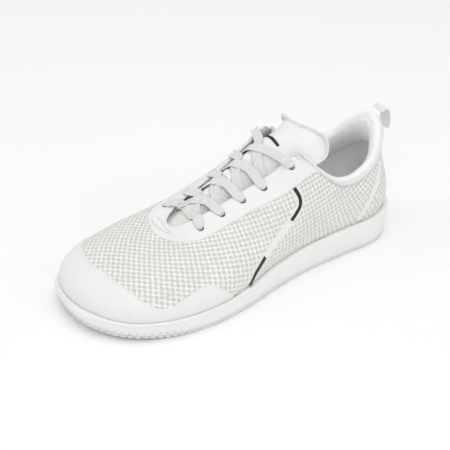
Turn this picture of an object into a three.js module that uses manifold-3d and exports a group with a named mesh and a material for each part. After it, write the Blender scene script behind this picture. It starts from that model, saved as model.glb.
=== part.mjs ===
// A left running shoe: knit mesh upper on a cup sole, five rows of flat laces, padded collar.
// Frame: millimetres, +Z up, floor at z = 0, heel towards +Y, toe towards -Y, +X is the lateral side.
import * as THREE from "three";
import { mergeVertices } from "three/addons/utils/BufferGeometryUtils.js";
import Module from "manifold-3d";

const wasm = await Module();
wasm.setup();
const { lerp, smoothstep, clamp } = THREE.MathUtils;

// ---- Driving dimensions (mm) ----
const OUTSOLE_THICK = 2.6;
const TOE_SPRING = 6;
const TOE_SPRING_START = -70;
const TOE_SPRING_RUN = 75;
const CUP_FLOOR_FORE = 8.5;
const CUP_FLOOR_HEEL = 15;
const GAP = 0.3;
const RIB_STEP = 1 / 3;
const EYELET_RADIUS = 2.7;
const EYELET_SIDES = 10;
const LACE_WIDTH = 7.2;
const LACE_THICK = 1.2;
const LACE_BUNCHED_WIDTH = 3.5;
const LACE_BUNCHED_THICK = 1.7;
const TONGUE_THICK = 4;
const TAB_WIDTH = 13;

// Layers of the upper, as distances along the outward normal from the knit's outer face.
const KNIT = { outer: 0, inner: -1.2 };
const STIFFENER = { outer: -1.65, inner: -2.1 };
const LINING = { outer: -2.6, inner: -3.5 };
const OVERLAY = { outer: 1.1, inner: 0.5 };
const THIN_FILM = { outer: 0.9, inner: 0.5 };
const BACKING_CLEAR = -3.5;

// The upper's ribs, round the shoe from the heel by way of the lateral side. Each rib is a cubic
// from the rand, where knit meets sole, to the collar or throat edge: rand, two pulls, edge.
const RIBS = [
  [[-3, 141, 25], [-3, 147, 48], [-3, 129, 72], [-3, 138, 95]],
  [[15, 136, 25], [19, 142, 48], [14, 127, 68], [14, 132, 87]],
  [[28, 115, 24], [34, 117, 42], [32, 113, 56], [28, 112, 70]],
  [[30, 82, 23], [36, 82, 40], [36, 80, 54], [32, 78, 66]],
  [[33, 42, 21], [43, 42, 44], [41, 40, 70], [23, 42, 96]],
  [[41, 8, 19], [51, 6, 38], [43, 12, 62], [17, 22, 85]],
  [[52, -22, 17], [60, -24, 35], [46, -14, 52], [13, -8, 73]],
  [[58, -56, 15], [65, -57, 31], [49, -46, 44], [11, -38, 64]],
  [[56, -91, 15], [61, -95, 33], [38, -73, 44], [7, -53, 59]],
  [[43, -120, 16], [46, -126, 36], [22, -90, 46], [3, -57, 57]],
  [[18, -136, 17], [16, -145, 38], [5, -102, 49], [0, -58, 57]],
  [[-12, -140, 17], [-14, -149, 40], [-12, -104, 51], [-4, -58, 57]],
  [[-39, -131, 17], [-43, -137, 40], [-28, -95, 51], [-9, -55, 58]],
  [[-51, -104, 16], [-57, -106, 36], [-41, -80, 53], [-12, -47, 63]],
  [[-50, -60, 16], [-57, -60, 34], [-47, -48, 56], [-13, -34, 70]],
  [[-43, -18, 18], [-50, -16, 40], [-42, -8, 67], [-15, -4, 82]],
  [[-38, 18, 20], [-46, 18, 46], [-39, 22, 76], [-18, 24, 96]],
  [[-36, 50, 22], [-44, 48, 46], [-41, 44, 76], [-23, 44, 102]],
  [[-36, 84, 23], [-43, 84, 42], [-42, 82, 58], [-38, 80, 71]],
  [[-34, 115, 24], [-40, 117, 43], [-38, 114, 58], [-34, 113, 73]],
  [[-22, 136, 25], [-26, 142, 48], [-20, 127, 68], [-20, 131, 88]],
];
const RIB_COUNT = RIBS.length;

// The edge of the tread, one point beside each rib.
const TREAD_EDGE = [
  [-3, 142.5], [15.5, 137.5], [30, 117], [33, 82], [37, 42], [45, 8], [54, -22],
  [60, -57], [57, -92], [42, -123], [16, -140.5], [-13, -142.5], [-40, -134],
  [-53, -105], [-52, -60], [-45, -18], [-40, 18], [-38, 50], [-37, 84], [-35.5, 116],
  [-22, 137],
];

// ---- Curves and surfaces ----
function blend4(p0, p1, p2, p3, f) {
  const a = 2 * p1;
  const b = (p2 - p0) * f;
  const c = (2 * p0 - 5 * p1 + 4 * p2 - p3) * f * f;
  const d = (3 * p1 - p0 - 3 * p2 + p3) * f * f * f;
  return 0.5 * (a + b + c + d);
}

function smoothRow(rows, position, wraps) {
  const last = rows.length;
  const base = Math.floor(wraps ? position : Math.min(position, last - 1 - 1e-9));
  const f = position - base;
  const pick = (k) => {
    if (wraps) return rows[(((base + k) % last) + last) % last];
    return rows[Math.max(0, Math.min(last - 1, base + k))];
  };
  const [r0, r1, r2, r3] = [-1, 0, 1, 2].map(pick);
  return r1.map((value, i) => blend4(r0[i], value, r2[i], r3[i], f));
}

const FLAT_RIBS = RIBS.map((rib) => rib.flat());

function knitPoint(u, v) {
  const c = smoothRow(FLAT_RIBS, u, true);
  const w = 1 - v;
  const weights = [w * w * w, 3 * w * w * v, 3 * w * v * v, v * v * v];
  const at = (axis) => weights.reduce((sum, weight, k) => sum + weight * c[3 * k + axis], 0);
  return new THREE.Vector3(at(0), at(1), at(2));
}

function knitNormal(u, v) {
  const step = 0.02;
  const low = Math.max(0, v - step);
  const high = Math.min(1, v + step);
  const along = knitPoint(u + step, v).sub(knitPoint(u - step, v));
  const up = knitPoint(u, high).sub(knitPoint(u, low));
  return up.cross(along).normalize();
}

// A point at a distance out from the knit's outer face.
function layerPoint(u, v, out) {
  return knitPoint(u, v).addScaledVector(knitNormal(u, v), out);
}

function randNormal(u) {
  const along = knitPoint(u + 0.02, 0).sub(knitPoint(u - 0.02, 0));
  return new THREE.Vector3(-along.y, along.x, 0).normalize();
}

function toeSpring(y) {
  const past = Math.max(0, TOE_SPRING_START - y) / TOE_SPRING_RUN;
  return TOE_SPRING * past * past;
}

function cupFloor(y) {
  const rise = smoothstep(y, -40, 60);
  return CUP_FLOOR_FORE + (CUP_FLOOR_HEEL - CUP_FLOOR_FORE) * rise + toeSpring(y);
}

// ---- Solids ----
function geometryOf(points, faces) {
  const corners = faces.map(([a, b, c]) => [points[a], points[b], points[c]]);
  const volume = corners.reduce((sum, [a, b, c]) => sum + a.dot(b.clone().cross(c)), 0);
  const turned = volume < 0 ? faces.map(([a, b, c]) => [a, c, b]) : faces;
  const geometry = new THREE.BufferGeometry().setFromPoints(points);
  geometry.setIndex(turned.flat());
  geometry.computeVertexNormals();
  return geometry;
}

// A sheet between two surfaces over the same grid, closed at its edges. It may wrap round in u.
function slab(outer, inner, uSteps, vSteps, wraps = false) {
  const points = [];
  const faces = [];
  const columns = wraps ? uSteps : uSteps + 1;
  const rows = vSteps + 1;
  for (const surface of [outer, inner])
    for (let i = 0; i < columns; i++)
      for (let j = 0; j < rows; j++) points.push(surface(i / uSteps, j / vSteps));
  const at = (side, i, j) => side * columns * rows + (i % columns) * rows + j;
  const quad = (a, b, c, d) => faces.push([a, b, c], [a, c, d]);
  for (let i = 0; i < uSteps; i++) {
    for (let j = 0; j < vSteps; j++) {
      quad(at(0, i, j), at(0, i, j + 1), at(0, i + 1, j + 1), at(0, i + 1, j));
      quad(at(1, i, j), at(1, i + 1, j), at(1, i + 1, j + 1), at(1, i, j + 1));
    }
    quad(at(0, i, 0), at(0, i + 1, 0), at(1, i + 1, 0), at(1, i, 0));
    quad(at(0, i, vSteps), at(1, i, vSteps), at(1, i + 1, vSteps), at(0, i + 1, vSteps));
  }
  if (!wraps) {
    for (let j = 0; j < vSteps; j++) {
      quad(at(0, 0, j), at(1, 0, j), at(1, 0, j + 1), at(0, 0, j + 1));
      quad(at(0, uSteps, j), at(0, uSteps, j + 1), at(1, uSteps, j + 1), at(1, uSteps, j));
    }
  }
  return geometryOf(points, faces);
}

// Rings of equal count joined one to the next. The first and the last are closed by strips laid
// straight across the shoe, so that stacked pieces share the same slope.
function stack(rings) {
  const points = rings.flat();
  const faces = [];
  const count = rings[0].length;
  for (let r = 0; r < rings.length - 1; r++) {
    for (let i = 0; i < count; i++) {
      const a = r * count + i;
      const b = r * count + ((i + 1) % count);
      faces.push([a, b, b + count], [a, b + count, a + count]);
    }
  }
  const last = (rings.length - 1) * count;
  for (let i = 0; i < (count - 1) / 2; i++) {
    const [a, b] = [i, i + 1];
    const [c, d] = [count - 1 - i, (count - i) % count];
    faces.push([a, c, b], [last + a, last + b, last + c]);
    if (i > 0) faces.push([a, d, c], [last + a, last + c, last + d]);
  }
  return geometryOf(points, faces);
}

// A band swept along points. Each stop gives its centre, the direction of its width and its size.
function band(stops, sides = 8) {
  const points = [];
  const faces = [];
  stops.forEach((stop, k) => {
    const before = stops[Math.max(0, k - 1)].centre;
    const after = stops[Math.min(stops.length - 1, k + 1)].centre;
    const along = after.clone().sub(before).normalize();
    const across = stop.across.clone().addScaledVector(along, -stop.across.dot(along)).normalize();
    const face = along.clone().cross(across);
    for (let i = 0; i < sides; i++) {
      const angle = (2 * Math.PI * (i + 0.5)) / sides;
      const x = Math.sign(Math.cos(angle)) * Math.abs(Math.cos(angle)) ** 0.5;
      const y = Math.sign(Math.sin(angle)) * Math.abs(Math.sin(angle)) ** 0.8;
      const offset = across.clone().multiplyScalar((x * stop.width) / 2);
      points.push(stop.centre.clone().add(offset).addScaledVector(face, (y * stop.thick) / 2));
    }
  });
  for (let k = 0; k < stops.length - 1; k++) {
    for (let i = 0; i < sides; i++) {
      const a = k * sides + i;
      const b = k * sides + ((i + 1) % sides);
      faces.push([a, b, b + sides], [a, b + sides, a + sides]);
    }
  }
  const end = (stops.length - 1) * sides;
  for (let i = 1; i < sides - 1; i++) {
    faces.push([0, i + 1, i], [end, end + i, end + i + 1]);
  }
  return geometryOf(points, faces);
}

function solidOf(geometry) {
  const bare = geometry.clone();
  bare.deleteAttribute("normal");
  bare.deleteAttribute("uv");
  const merged = mergeVertices(bare, 1e-4);
  const vertProperties = new Float32Array(merged.attributes.position.array);
  const triVerts = new Uint32Array(merged.index.array);
  return new wasm.Manifold(new wasm.Mesh({ numProp: 3, vertProperties, triVerts }));
}

function geometryFromSolid(solid) {
  const mesh = solid.getMesh();
  const geometry = new THREE.BufferGeometry();
  const positions = new Float32Array(mesh.vertProperties);
  geometry.setAttribute("position", new THREE.BufferAttribute(positions, 3));
  geometry.setIndex(new THREE.BufferAttribute(new Uint32Array(mesh.triVerts), 1));
  geometry.computeVertexNormals();
  return geometry;
}

function cutAll(geometry, cutters) {
  const start = solidOf(geometry);
  return geometryFromSolid(cutters.reduce((body, cutter) => body.subtract(solidOf(cutter)), start));
}

// ---- Patches of the upper ----

// A height between two named borders at u. A border is a list of [u, v] read with straight runs.
function border(list) {
  return (u) => {
    const next = list.findIndex(([at]) => at >= u);
    if (next <= 0) return next === 0 ? list[0][1] : list.at(-1)[1];
    const [u0, v0] = list[next - 1];
    const [u1, v1] = list[next];
    return lerp(v0, v1, (u - u0) / (u1 - u0));
  };
}

function patch(layer, uFrom, uTo, low, high, uSteps, vSteps) {
  const surface = (out) => (a, b) => {
    const u = lerp(uFrom, uTo, a);
    return layerPoint(u, lerp(low(u), high(u), b), out);
  };
  return slab(surface(layer.outer), surface(layer.inner), uSteps, vSteps);
}

// A full ring of the upper with a skirt that stands on the floor of the sole's cup.
const SKIRT_ROWS = 1;
const RIB_ROWS = [0, 0.08, 0.16, 0.24, 0.32, 0.4, 0.48, 0.58, 0.68, 0.78, 0.86, 0.93, 1];

function ringWithSkirt(layer, uFrom, uTo, topRow, wraps) {
  const rows = RIB_ROWS.filter((v) => v <= topRow);
  const surface = (out) => (a, b) => {
    const u = lerp(uFrom, uTo, a);
    const row = Math.round(b * (rows.length - 1 + SKIRT_ROWS)) - SKIRT_ROWS;
    if (row >= 0) return layerPoint(u, rows[row], out);
    const foot = knitPoint(u, 0).addScaledVector(randNormal(u), out);
    foot.z = cupFloor(foot.y) + GAP;
    return foot;
  };
  const uSteps = Math.round((uTo - uFrom) / RIB_STEP);
  return slab(surface(layer.outer), surface(layer.inner), uSteps, rows.length - 1 + SKIRT_ROWS, wraps);
}

// ---- Sole ----
function soleRing(spread, height) {
  const ring = [];
  for (let u = 0; u < RIB_COUNT - 1e-6; u += RIB_STEP) {
    const [x, y] = smoothRow(TREAD_EDGE, u, true);
    const out = randNormal(u);
    const p = new THREE.Vector3(x + out.x * spread, y + out.y * spread, 0);
    p.z = height(p, u);
    ring.push(p);
  }
  return ring;
}

function randRing(spread, height) {
  const ring = [];
  for (let u = 0; u < RIB_COUNT - 1e-6; u += RIB_STEP) {
    const p = knitPoint(u, 0).addScaledVector(randNormal(u), spread);
    p.z = height(p, u);
    ring.push(p);
  }
  return ring;
}

function outsole() {
  const shape = stack([
    soleRing(-1.2, (p) => toeSpring(p.y)),
    soleRing(0, (p) => toeSpring(p.y) + 1),
    soleRing(0.2, (p) => toeSpring(p.y) + OUTSOLE_THICK),
  ]);
  const grooves = [];
  const grooveCount = 9;
  for (let k = 0; k < grooveCount; k++) {
    const groove = new THREE.BoxGeometry(140, 3, 2.4);
    const y = -96 + k * 26;
    groove.rotateZ(k % 2 ? 0.12 : -0.12);
    groove.translate(0, y, toeSpring(y));
    grooves.push(groove);
  }
  return cutAll(shape, grooves);
}

function midsole() {
  const base = (p) => toeSpring(p.y) + OUTSOLE_THICK + GAP;
  const top = (u) => knitPoint(u, 0).z;
  const wall = (part) => (p, u) => lerp(base(p), top(u), part);
  return stack([
    soleRing(-0.2, base),
    soleRing(1.2, wall(0.3)),
    soleRing(1.8, wall(0.62)),
    soleRing(1.2, wall(0.86)),
    randRing(3.4, (p, u) => top(u) + 0.5),
    randRing(0.6, (p, u) => top(u) - 0.2),
    randRing(0.4, (p) => cupFloor(p.y)),
  ]);
}

function strobelBoard() {
  return stack([
    randRing(LINING.inner - 0.4, (p) => cupFloor(p.y) + GAP),
    randRing(LINING.inner - 0.4, (p) => cupFloor(p.y) + GAP + 1.2),
  ]);
}

function footbedFoam() {
  return stack([
    randRing(LINING.inner - 1.2, (p) => cupFloor(p.y) + 1.9),
    randRing(LINING.inner - 0.8, (p) => cupFloor(p.y) + 5),
  ]);
}

function footbedCover() {
  return stack([
    randRing(LINING.inner - 0.8, (p) => cupFloor(p.y) + 5.3),
    randRing(LINING.inner - 1, (p) => cupFloor(p.y) + 6.1),
  ]);
}

// ---- Eyelets ----
// Where each lace hole is on the ribs, from the toe end up, on the lateral and the medial side.
const EYELETS = {
  lateral: [[7.13, 0.92], [6.46, 0.935], [5.87, 0.94], [5.27, 0.93], [4.26, 0.93]],
  medial: [[13.35, 0.92], [14.2, 0.935], [14.9, 0.94], [15.6, 0.93], [16.7, 0.93]],
};

function eyeletPunches() {
  return [...EYELETS.lateral, ...EYELETS.medial].map(([u, v]) => {
    const punch = new THREE.CylinderGeometry(EYELET_RADIUS, EYELET_RADIUS, 10, EYELET_SIDES);
    const turn = new THREE.Quaternion().setFromUnitVectors(new THREE.Vector3(0, 1, 0), knitNormal(u, v));
    punch.applyQuaternion(turn);
    const centre = knitPoint(u, v);
    return punch.translate(centre.x, centre.y, centre.z);
  });
}

// ---- Upper ----
const meshUpper = () => cutAll(ringWithSkirt(KNIT, 0, RIB_COUNT, 1, true), eyeletPunches());
const vampLining = () => ringWithSkirt(LINING, 4, 17, 0.78, false);

// The rear lining runs up the inside, over the collar foam and down to the binding. Each step is
// [height above the collar edge, distance in from the knit's face]. Towards the laces the roll
// thins out until it is as flat as the thin distance given with it.
const COLLAR_SKIN = {
  path: [[-24, 3.6], [-19, 6.9], [-12, 9.2], [-5, 9.7], [0.9, 8.5], [3.8, 5.6], [3.8, 2.7], [2, 1.5]],
  thin: 3.7,
};
const COLLAR_BACK = {
  path: [[-24, 2.9], [-19, 6.1], [-12, 8.4], [-5, 8.9], [0.3, 7.8], [2.9, 5.3], [3, 3], [1.5, 2.2]],
  thin: 3.05,
};
const COLLAR_FOAM = {
  path: [[-23.5, 2.5], [-19, 5.6], [-12, 7.9], [-5, 8.4], [-0.2, 7.2], [1.9, 5], [1.6, 3.5]],
  thin: 2.6,
};
const FOAM_BACK = 2.25;
const COLLAR_LEVELS_OFF = 5;
const COLLAR_REAR = { from: 17.2 - RIB_COUNT, to: 3.8 };
const COLLAR_TAPER = { thin: 3.7, full: 2.8 };

function ribLength(u) {
  let length = 0;
  for (let k = 0; k < 8; k++) length += knitPoint(u, k / 8).distanceTo(knitPoint(u, (k + 1) / 8));
  return length;
}

function collarPoint(u, height, inward, thin = inward) {
  const v = Math.min(1, 1 + height / ribLength(u));
  const p = knitPoint(u, v);
  const normal = knitNormal(u, v);
  normal.z *= clamp(-height / COLLAR_LEVELS_OFF, 0, 1);
  const full = 1 - smoothstep(Math.abs(u), COLLAR_TAPER.full, COLLAR_TAPER.thin);
  p.addScaledVector(normal.normalize(), -lerp(Math.min(inward, thin), inward, full));
  p.z += Math.max(0, height);
  return p;
}

function collarFoam() {
  const { path, thin } = COLLAR_FOAM;
  const rearAt = (a) => lerp(COLLAR_REAR.from, COLLAR_REAR.to, a);
  const stepAt = (b) => path[Math.round(b * (path.length - 1))];
  const skin = (a, b) => collarPoint(rearAt(a), ...stepAt(b), thin);
  const back = (a, b) => collarPoint(rearAt(a), Math.min(stepAt(b)[0], 0.5), FOAM_BACK);
  return slab(skin, back, 24, path.length - 1);
}

function quarterLining() {
  const low = [0.08, 0.24, 0.4];
  const rows = low.length + COLLAR_SKIN.path.length;
  const surface = (out, { path, thin }) => (a, b) => {
    const u = lerp(COLLAR_REAR.from, COLLAR_REAR.to, a);
    const row = Math.round(b * rows);
    if (row > low.length) return collarPoint(u, ...path[row - low.length - 1], thin);
    if (row > 0) return layerPoint(u, low[row - 1], out);
    const foot = knitPoint(u, 0).addScaledVector(randNormal(u), out);
    foot.z = cupFloor(foot.y) + GAP;
    return foot;
  };
  const cavitySide = surface(LINING.inner, COLLAR_SKIN);
  return slab(cavitySide, surface(LINING.outer, COLLAR_BACK), 24, rows);
}

const flatBorder = (v) => () => v;

const COUNTER_TOP = border([[-2, 0.4], [-1, 0.56], [0, 0.62], [1, 0.56], [2, 0.4]]);
const toePuff = () => patch(STIFFENER, 8, 14, flatBorder(0.08), flatBorder(0.4), 18, 4);
const heelCounter = () => patch(STIFFENER, -2, 2, flatBorder(0.08), COUNTER_TOP, 12, 5);

const TOE_CAP_TOP = border([
  [6.45, 0.04], [6.7, 0.2], [6.95, 0.34], [7.2, 0.41], [7.45, 0.4], [7.65, 0.32], [7.95, 0.23],
  [8.25, 0.2], [8.65, 0.29], [8.95, 0.36], [9.3, 0.42], [10.1, 0.48], [10.8, 0.475], [11.6, 0.46],
  [12.4, 0.42], [13.1, 0.33], [13.8, 0.2], [14.4, 0.04],
]);
const toeCap = () => patch(OVERLAY, 6.5, 14.3, flatBorder(0.01), TOE_CAP_TOP, 40, 6);

const EYESTAY_LOW = border([
  [3.45, 0.985], [3.6, 0.94], [3.8, 0.84], [4.1, 0.77], [4.6, 0.76], [5, 0.79], [5.7, 0.83],
  [6.6, 0.845], [7.2, 0.84], [8.1, 0.865], [9, 0.885], [10, 0.9], [11, 0.905], [11.7, 0.9],
  [12.7, 0.865], [13.3, 0.84], [14, 0.82], [15, 0.82], [16, 0.79], [16.6, 0.76], [17, 0.77],
  [17.3, 0.84], [17.5, 0.94], [17.65, 0.985],
]);

function eyestay() {
  const shape = patch(OVERLAY, 3.5, 17.6, EYESTAY_LOW, flatBorder(1), 47, 3);
  return cutAll(shape, eyeletPunches());
}

function eyestayBacking(from, to) {
  const shape = patch(STIFFENER, from, to, flatBorder(0.86), flatBorder(0.985), 12, 2);
  return cutAll(shape, eyeletPunches());
}

// A stitched crescent round the toe end of the throat, over the eyestay.
function throatPatch() {
  const layer = { outer: 1.9, inner: 1.45 };
  const low = border([[8.5, 0.922], [9.6, 0.932], [10.7, 0.935], [11.6, 0.92], [12.4, 0.9]]);
  const high = border([[8.5, 0.94], [9.2, 0.957], [10.5, 0.978], [11.6, 0.978], [12.4, 0.93]]);
  return patch(layer, 8.5, 12.4, low, high, 13, 1);
}

// A strip of film that follows a line of [u, v] points, with an even width.
function filmStrip(line, width, layer, steps) {
  const curve = new THREE.CatmullRomCurve3(line.map(([u, v]) => new THREE.Vector3(u, v, 0)));
  const surface = (out) => (a, b) => {
    const at = curve.getPoint(a);
    const ahead = curve.getPoint(Math.min(1, a + 0.01));
    const behind = curve.getPoint(Math.max(0, a - 0.01));
    const centre = layerPoint(at.x, at.y, out);
    const along = layerPoint(ahead.x, ahead.y, out).sub(layerPoint(behind.x, behind.y, out));
    const across = along.cross(knitNormal(at.x, at.y)).normalize();
    return centre.addScaledVector(across, (b - 0.5) * width);
  };
  return slab(surface(layer.outer), surface(layer.inner), steps, 1);
}

const STRIPE_UPPER = [[4.31, 0.76], [4.19, 0.66], [4.2, 0.58], [4.33, 0.53], [4.51, 0.49]];
const STRIPE_LOWER = [[5.44, 0.31], [5.62, 0.25], [5.8, 0.18], [5.93, 0.06]];
const HEEL_BAND = [[2.58, 0.06], [2.4, 0.3], [2.11, 0.55], [1.75, 0.72], [1.5, 0.84]];

const stripeUpper = () => filmStrip(STRIPE_UPPER, 2.8, THIN_FILM, 12);
const stripeLower = () => filmStrip(STRIPE_LOWER, 2.8, THIN_FILM, 8);
const heelBandLateral = () => filmStrip(HEEL_BAND, 5, THIN_FILM, 14);

function heelBandMedial() {
  const mirrored = HEEL_BAND.map(([u, v]) => [-u, v]);
  return filmStrip(mirrored, 5, THIN_FILM, 14);
}

const heelSeamTape = () => patch(THIN_FILM, -0.16, 0.16, flatBorder(0.05), flatBorder(0.9), 2, 12);

function collarBinding() {
  const from = COLLAR_REAR.from + 0.5;
  const to = COLLAR_REAR.to - 0.45;
  const surface = (inward) => (a, b) => collarPoint(lerp(from, to, a), lerp(-2.4, -0.1, b), inward);
  return slab(surface(-1.1), surface(-0.5), 24, 1);
}

// ---- Tongue ----
// Across each row: medial edge, medial rib, ridge, lateral rib, lateral edge. The rows under the
// eyestay hang below the knit, and the rows behind the laces stand free.
const UNDER = -5.7;
const underKnit = (u, v, out = UNDER) => layerPoint(u, v, out).toArray();
const TONGUE_ROWS = [
  [
    underKnit(11.9, 0.83), underKnit(11.3, 0.84), underKnit(10.5, 0.84), underKnit(9.8, 0.84),
    underKnit(9.2, 0.83),
  ],
  [
    underKnit(12.8, 0.84), underKnit(12.1, 0.95), [-2, -54, 54.5], underKnit(8.8, 0.95),
    underKnit(8.1, 0.84),
  ],
  [underKnit(13.4, 0.84), underKnit(13.4, 1), [-2, -41, 64], underKnit(7.2, 1), underKnit(7.2, 0.84)],
  [underKnit(14.3, 0.84), underKnit(14.3, 1), [-3, -24, 74.5], underKnit(6.5, 1), underKnit(6.5, 0.84)],
  [underKnit(14.95, 0.84), underKnit(14.95, 1), [-4, -5, 84], underKnit(5.9, 1), underKnit(5.9, 0.84)],
  [underKnit(15.65, 0.84), underKnit(15.65, 1), [-4, 13, 93], underKnit(5.25, 1), underKnit(5.25, 0.84)],
  [underKnit(16.35, 0.84), underKnit(16.35, 1), [-3, 28, 100], underKnit(4.6, 1), underKnit(4.6, 0.84)],
  [[-24, 45, 87], [-18.5, 41, 95.5], [-3, 40, 103.5], [13, 41, 93], [20, 45, 83]],
  [[-25, 56, 85], [-18, 50, 99.5], [-2, 50, 106], [15, 50, 99], [23, 56, 83.5]],
  [[-28, 67, 92], [-17, 56.5, 105], [-2, 57, 107.5], [15, 60, 104.5], [26, 68, 90.5]],
  [[-27, 60, 110], [-14, 59.5, 109], [-2, 61.5, 108.3], [14, 66, 108], [26, 69, 107.5]],
];
const FLAP_ROW = 7.25;
const FLAP_GAP = 0.16;
const TONGUE_END = TONGUE_ROWS.length - 1;

// The tongue's two top corners are rounded off.
const CORNER_ROWS = 0.55;

function tonguePoint(rowAsked, across) {
  const nearEnd = smoothstep(rowAsked, 8.4, TONGUE_END);
  const row = rowAsked - CORNER_ROWS * nearEnd * Math.abs(across) ** 7;
  const line = smoothRow(TONGUE_ROWS.map((points) => points.flat()), row, false);
  const points = [0, 1, 2, 3, 4].map((k) => line.slice(3 * k, 3 * k + 3));
  return new THREE.Vector3(...smoothRow(points, 2 + 2 * across, false));
}

function tongueNormal(row, across) {
  const step = 0.02;
  const lowRow = Math.max(0, row - step);
  const highRow = Math.min(TONGUE_END, row + step);
  const along = tonguePoint(highRow, across).sub(tonguePoint(lowRow, across));
  const left = Math.max(-1, across - step);
  const right = Math.min(1, across + step);
  const side = tonguePoint(row, right).sub(tonguePoint(row, left));
  return side.cross(along).normalize();
}

function tongueLayer(row, across, out) {
  return tonguePoint(row, across).addScaledVector(tongueNormal(row, across), out);
}

function tongueSheet(rowFrom, rowTo, steps) {
  const surface = (depth) => (a, b) => {
    const edge = 2 * b - 1;
    const thin = 1 - 0.6 * edge ** 6;
    return tongueLayer(lerp(rowFrom, rowTo, a), edge, -depth * thin);
  };
  return slab(surface(0), surface(TONGUE_THICK), steps, 12);
}

const tongueBase = () => tongueSheet(0, FLAP_ROW - FLAP_GAP, 20);
const tongueFlap = () => tongueSheet(FLAP_ROW, TONGUE_END, 10);

// A woven edge tape on the top of the flap.
function tongueBinding() {
  const surface = (out) => (a, b) => {
    const row = TONGUE_END - 0.22 + 0.2 * b;
    return tongueLayer(row, lerp(-0.94, 0.94, a), out);
  };
  return slab(surface(1), surface(GAP), 12, 1);
}

function tongueLabel() {
  const surface = (out) => (a, b) => tongueLayer(lerp(6.52, 6.8, b), lerp(-0.4, 0.4, a), out);
  return slab(surface(1), surface(GAP), 6, 1);
}

function laceKeeper() {
  const surface = (out) => (a, b) => tongueLayer(lerp(3.9, 4.15, b), lerp(-0.24, 0.24, a), out);
  return slab(surface(0.9), surface(GAP), 4, 1);
}

// ---- Laces ----
const FLAT = { width: LACE_WIDTH, thick: LACE_THICK };
const BUNCHED = { width: LACE_BUNCHED_WIDTH, thick: LACE_BUNCHED_THICK };

function laceStop(centre, across, size) {
  return { centre, across, ...size };
}

function throatDirection(side, u) {
  const sign = side === "lateral" ? -1 : 1;
  return knitPoint(u + 0.1, 0.95).sub(knitPoint(u - 0.1, 0.95)).multiplyScalar(sign).normalize();
}

// Up over the edge, along the eyestay and down through one eyelet.
function intoEyelet(side, row) {
  const [u, v] = EYELETS[side][row];
  const across = throatDirection(side, u);
  const at = (height, out, size) => laceStop(layerPoint(u, height, out), across, size);
  return [at(1, 3.4, FLAT), at(v + 0.028, 2.7, FLAT), at(v + 0.004, 2, BUNCHED), at(v, -0.4, BUNCHED)];
}

function outOfEyelet(side, row) {
  const [u, v] = EYELETS[side][row];
  const across = throatDirection(side, u);
  const at = (height, out, size) => laceStop(layerPoint(u, height, out), across, size);
  return [at(v + 0.004, -2.8, BUNCHED), at(v + 0.025, BACKING_CLEAR, FLAT), at(0.985, BACKING_CLEAR, FLAT)];
}

const LACE_UP = new THREE.Vector3(0, 1, 0);

// Over the tongue between two rows. The upper lace of a crossing rides on the lower one.
function overTongue(rowFrom, rowTo, fromSide, lift) {
  const sign = fromSide === "lateral" ? 1 : -1;
  return [0.36, 0.18, 0, -0.18, -0.36].map((edge, k) => {
    const row = lerp(rowFrom, rowTo, (k + 1) / 6);
    const rise = lift - EDGE_LIFT;
    const out = EDGE_LIFT + rise * (1 - Math.abs(edge) / 0.36);
    return laceStop(tongueLayer(row, sign * edge, out), LACE_UP, FLAT);
  });
}

// The tongue row beside each eyelet row.
const TONGUE_AT_EYELET = [2, 3, 4, 5, 6.2];
const EDGE_LIFT = 2.8;
const LOWER_LIFT = 3.1;
const UPPER_LIFT = 4.3;

function laceHalf(startSide) {
  const stops = [];
  let side = startSide;
  for (let row = 0; row < 4; row++) {
    const other = side === "lateral" ? "medial" : "lateral";
    const lift = side === "lateral" ? LOWER_LIFT : UPPER_LIFT;
    stops.push(...outOfEyelet(side, row));
    stops.push(...overTongue(TONGUE_AT_EYELET[row], TONGUE_AT_EYELET[row + 1], side, lift));
    stops.push(...intoEyelet(other, row + 1));
    side = other;
  }
  return stops.concat(laceTail(side));
}

// The loose end is tucked inside the shoe, between the lining and the foot.
const TAIL = [
  [0.2, 0.86, 4.9], [0.6, 0.74, 6], [1.3, 0.66, 6], [2.1, 0.6, 6], [2.7, 0.52, 6], [3, 0.42, 6],
];

function laceTail(side) {
  const [u, v] = EYELETS[side][4];
  const sign = side === "lateral" ? 1 : -1;
  const down = knitPoint(u, 0.5).sub(knitPoint(u, 0.9)).normalize();
  const across = throatDirection(side, u);
  const first = [
    laceStop(layerPoint(u, v - 0.004, -2.8), across, BUNCHED),
    laceStop(layerPoint(u + sign * 0.05, v - 0.03, BACKING_CLEAR - 0.9), across, FLAT),
  ];
  const rest = TAIL.map(([du, at, depth]) => laceStop(layerPoint(u + sign * du, at, -depth), down, FLAT));
  return first.concat(rest);
}

function laceRoute() {
  const bar = [0.36, 0, -0.36].map((edge) => laceStop(tongueLayer(2, edge, EDGE_LIFT), LACE_UP, FLAT));
  const toMedial = intoEyelet("medial", 0).concat(laceHalf("medial"));
  const toLateral = intoEyelet("lateral", 0).concat(laceHalf("lateral"));
  return [...toMedial.reverse(), ...bar.reverse(), ...toLateral];
}

// Stops along a smooth curve through the route.
function smoothBand(stops, perStop) {
  const rows = stops.map((s) => [...s.centre.toArray(), ...s.across.toArray(), s.width, s.thick]);
  const fine = [];
  const count = (stops.length - 1) * perStop;
  for (let k = 0; k <= count; k++) {
    const r = smoothRow(rows, k / perStop, false);
    const centre = new THREE.Vector3(r[0], r[1], r[2]);
    const across = new THREE.Vector3(r[3], r[4], r[5]);
    fine.push({ centre, across, width: r[6], thick: r[7] });
  }
  return fine;
}

const AGLET_LENGTH = 16;
const lace = () => band(smoothBand(laceRoute(), 2), 6);

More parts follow.
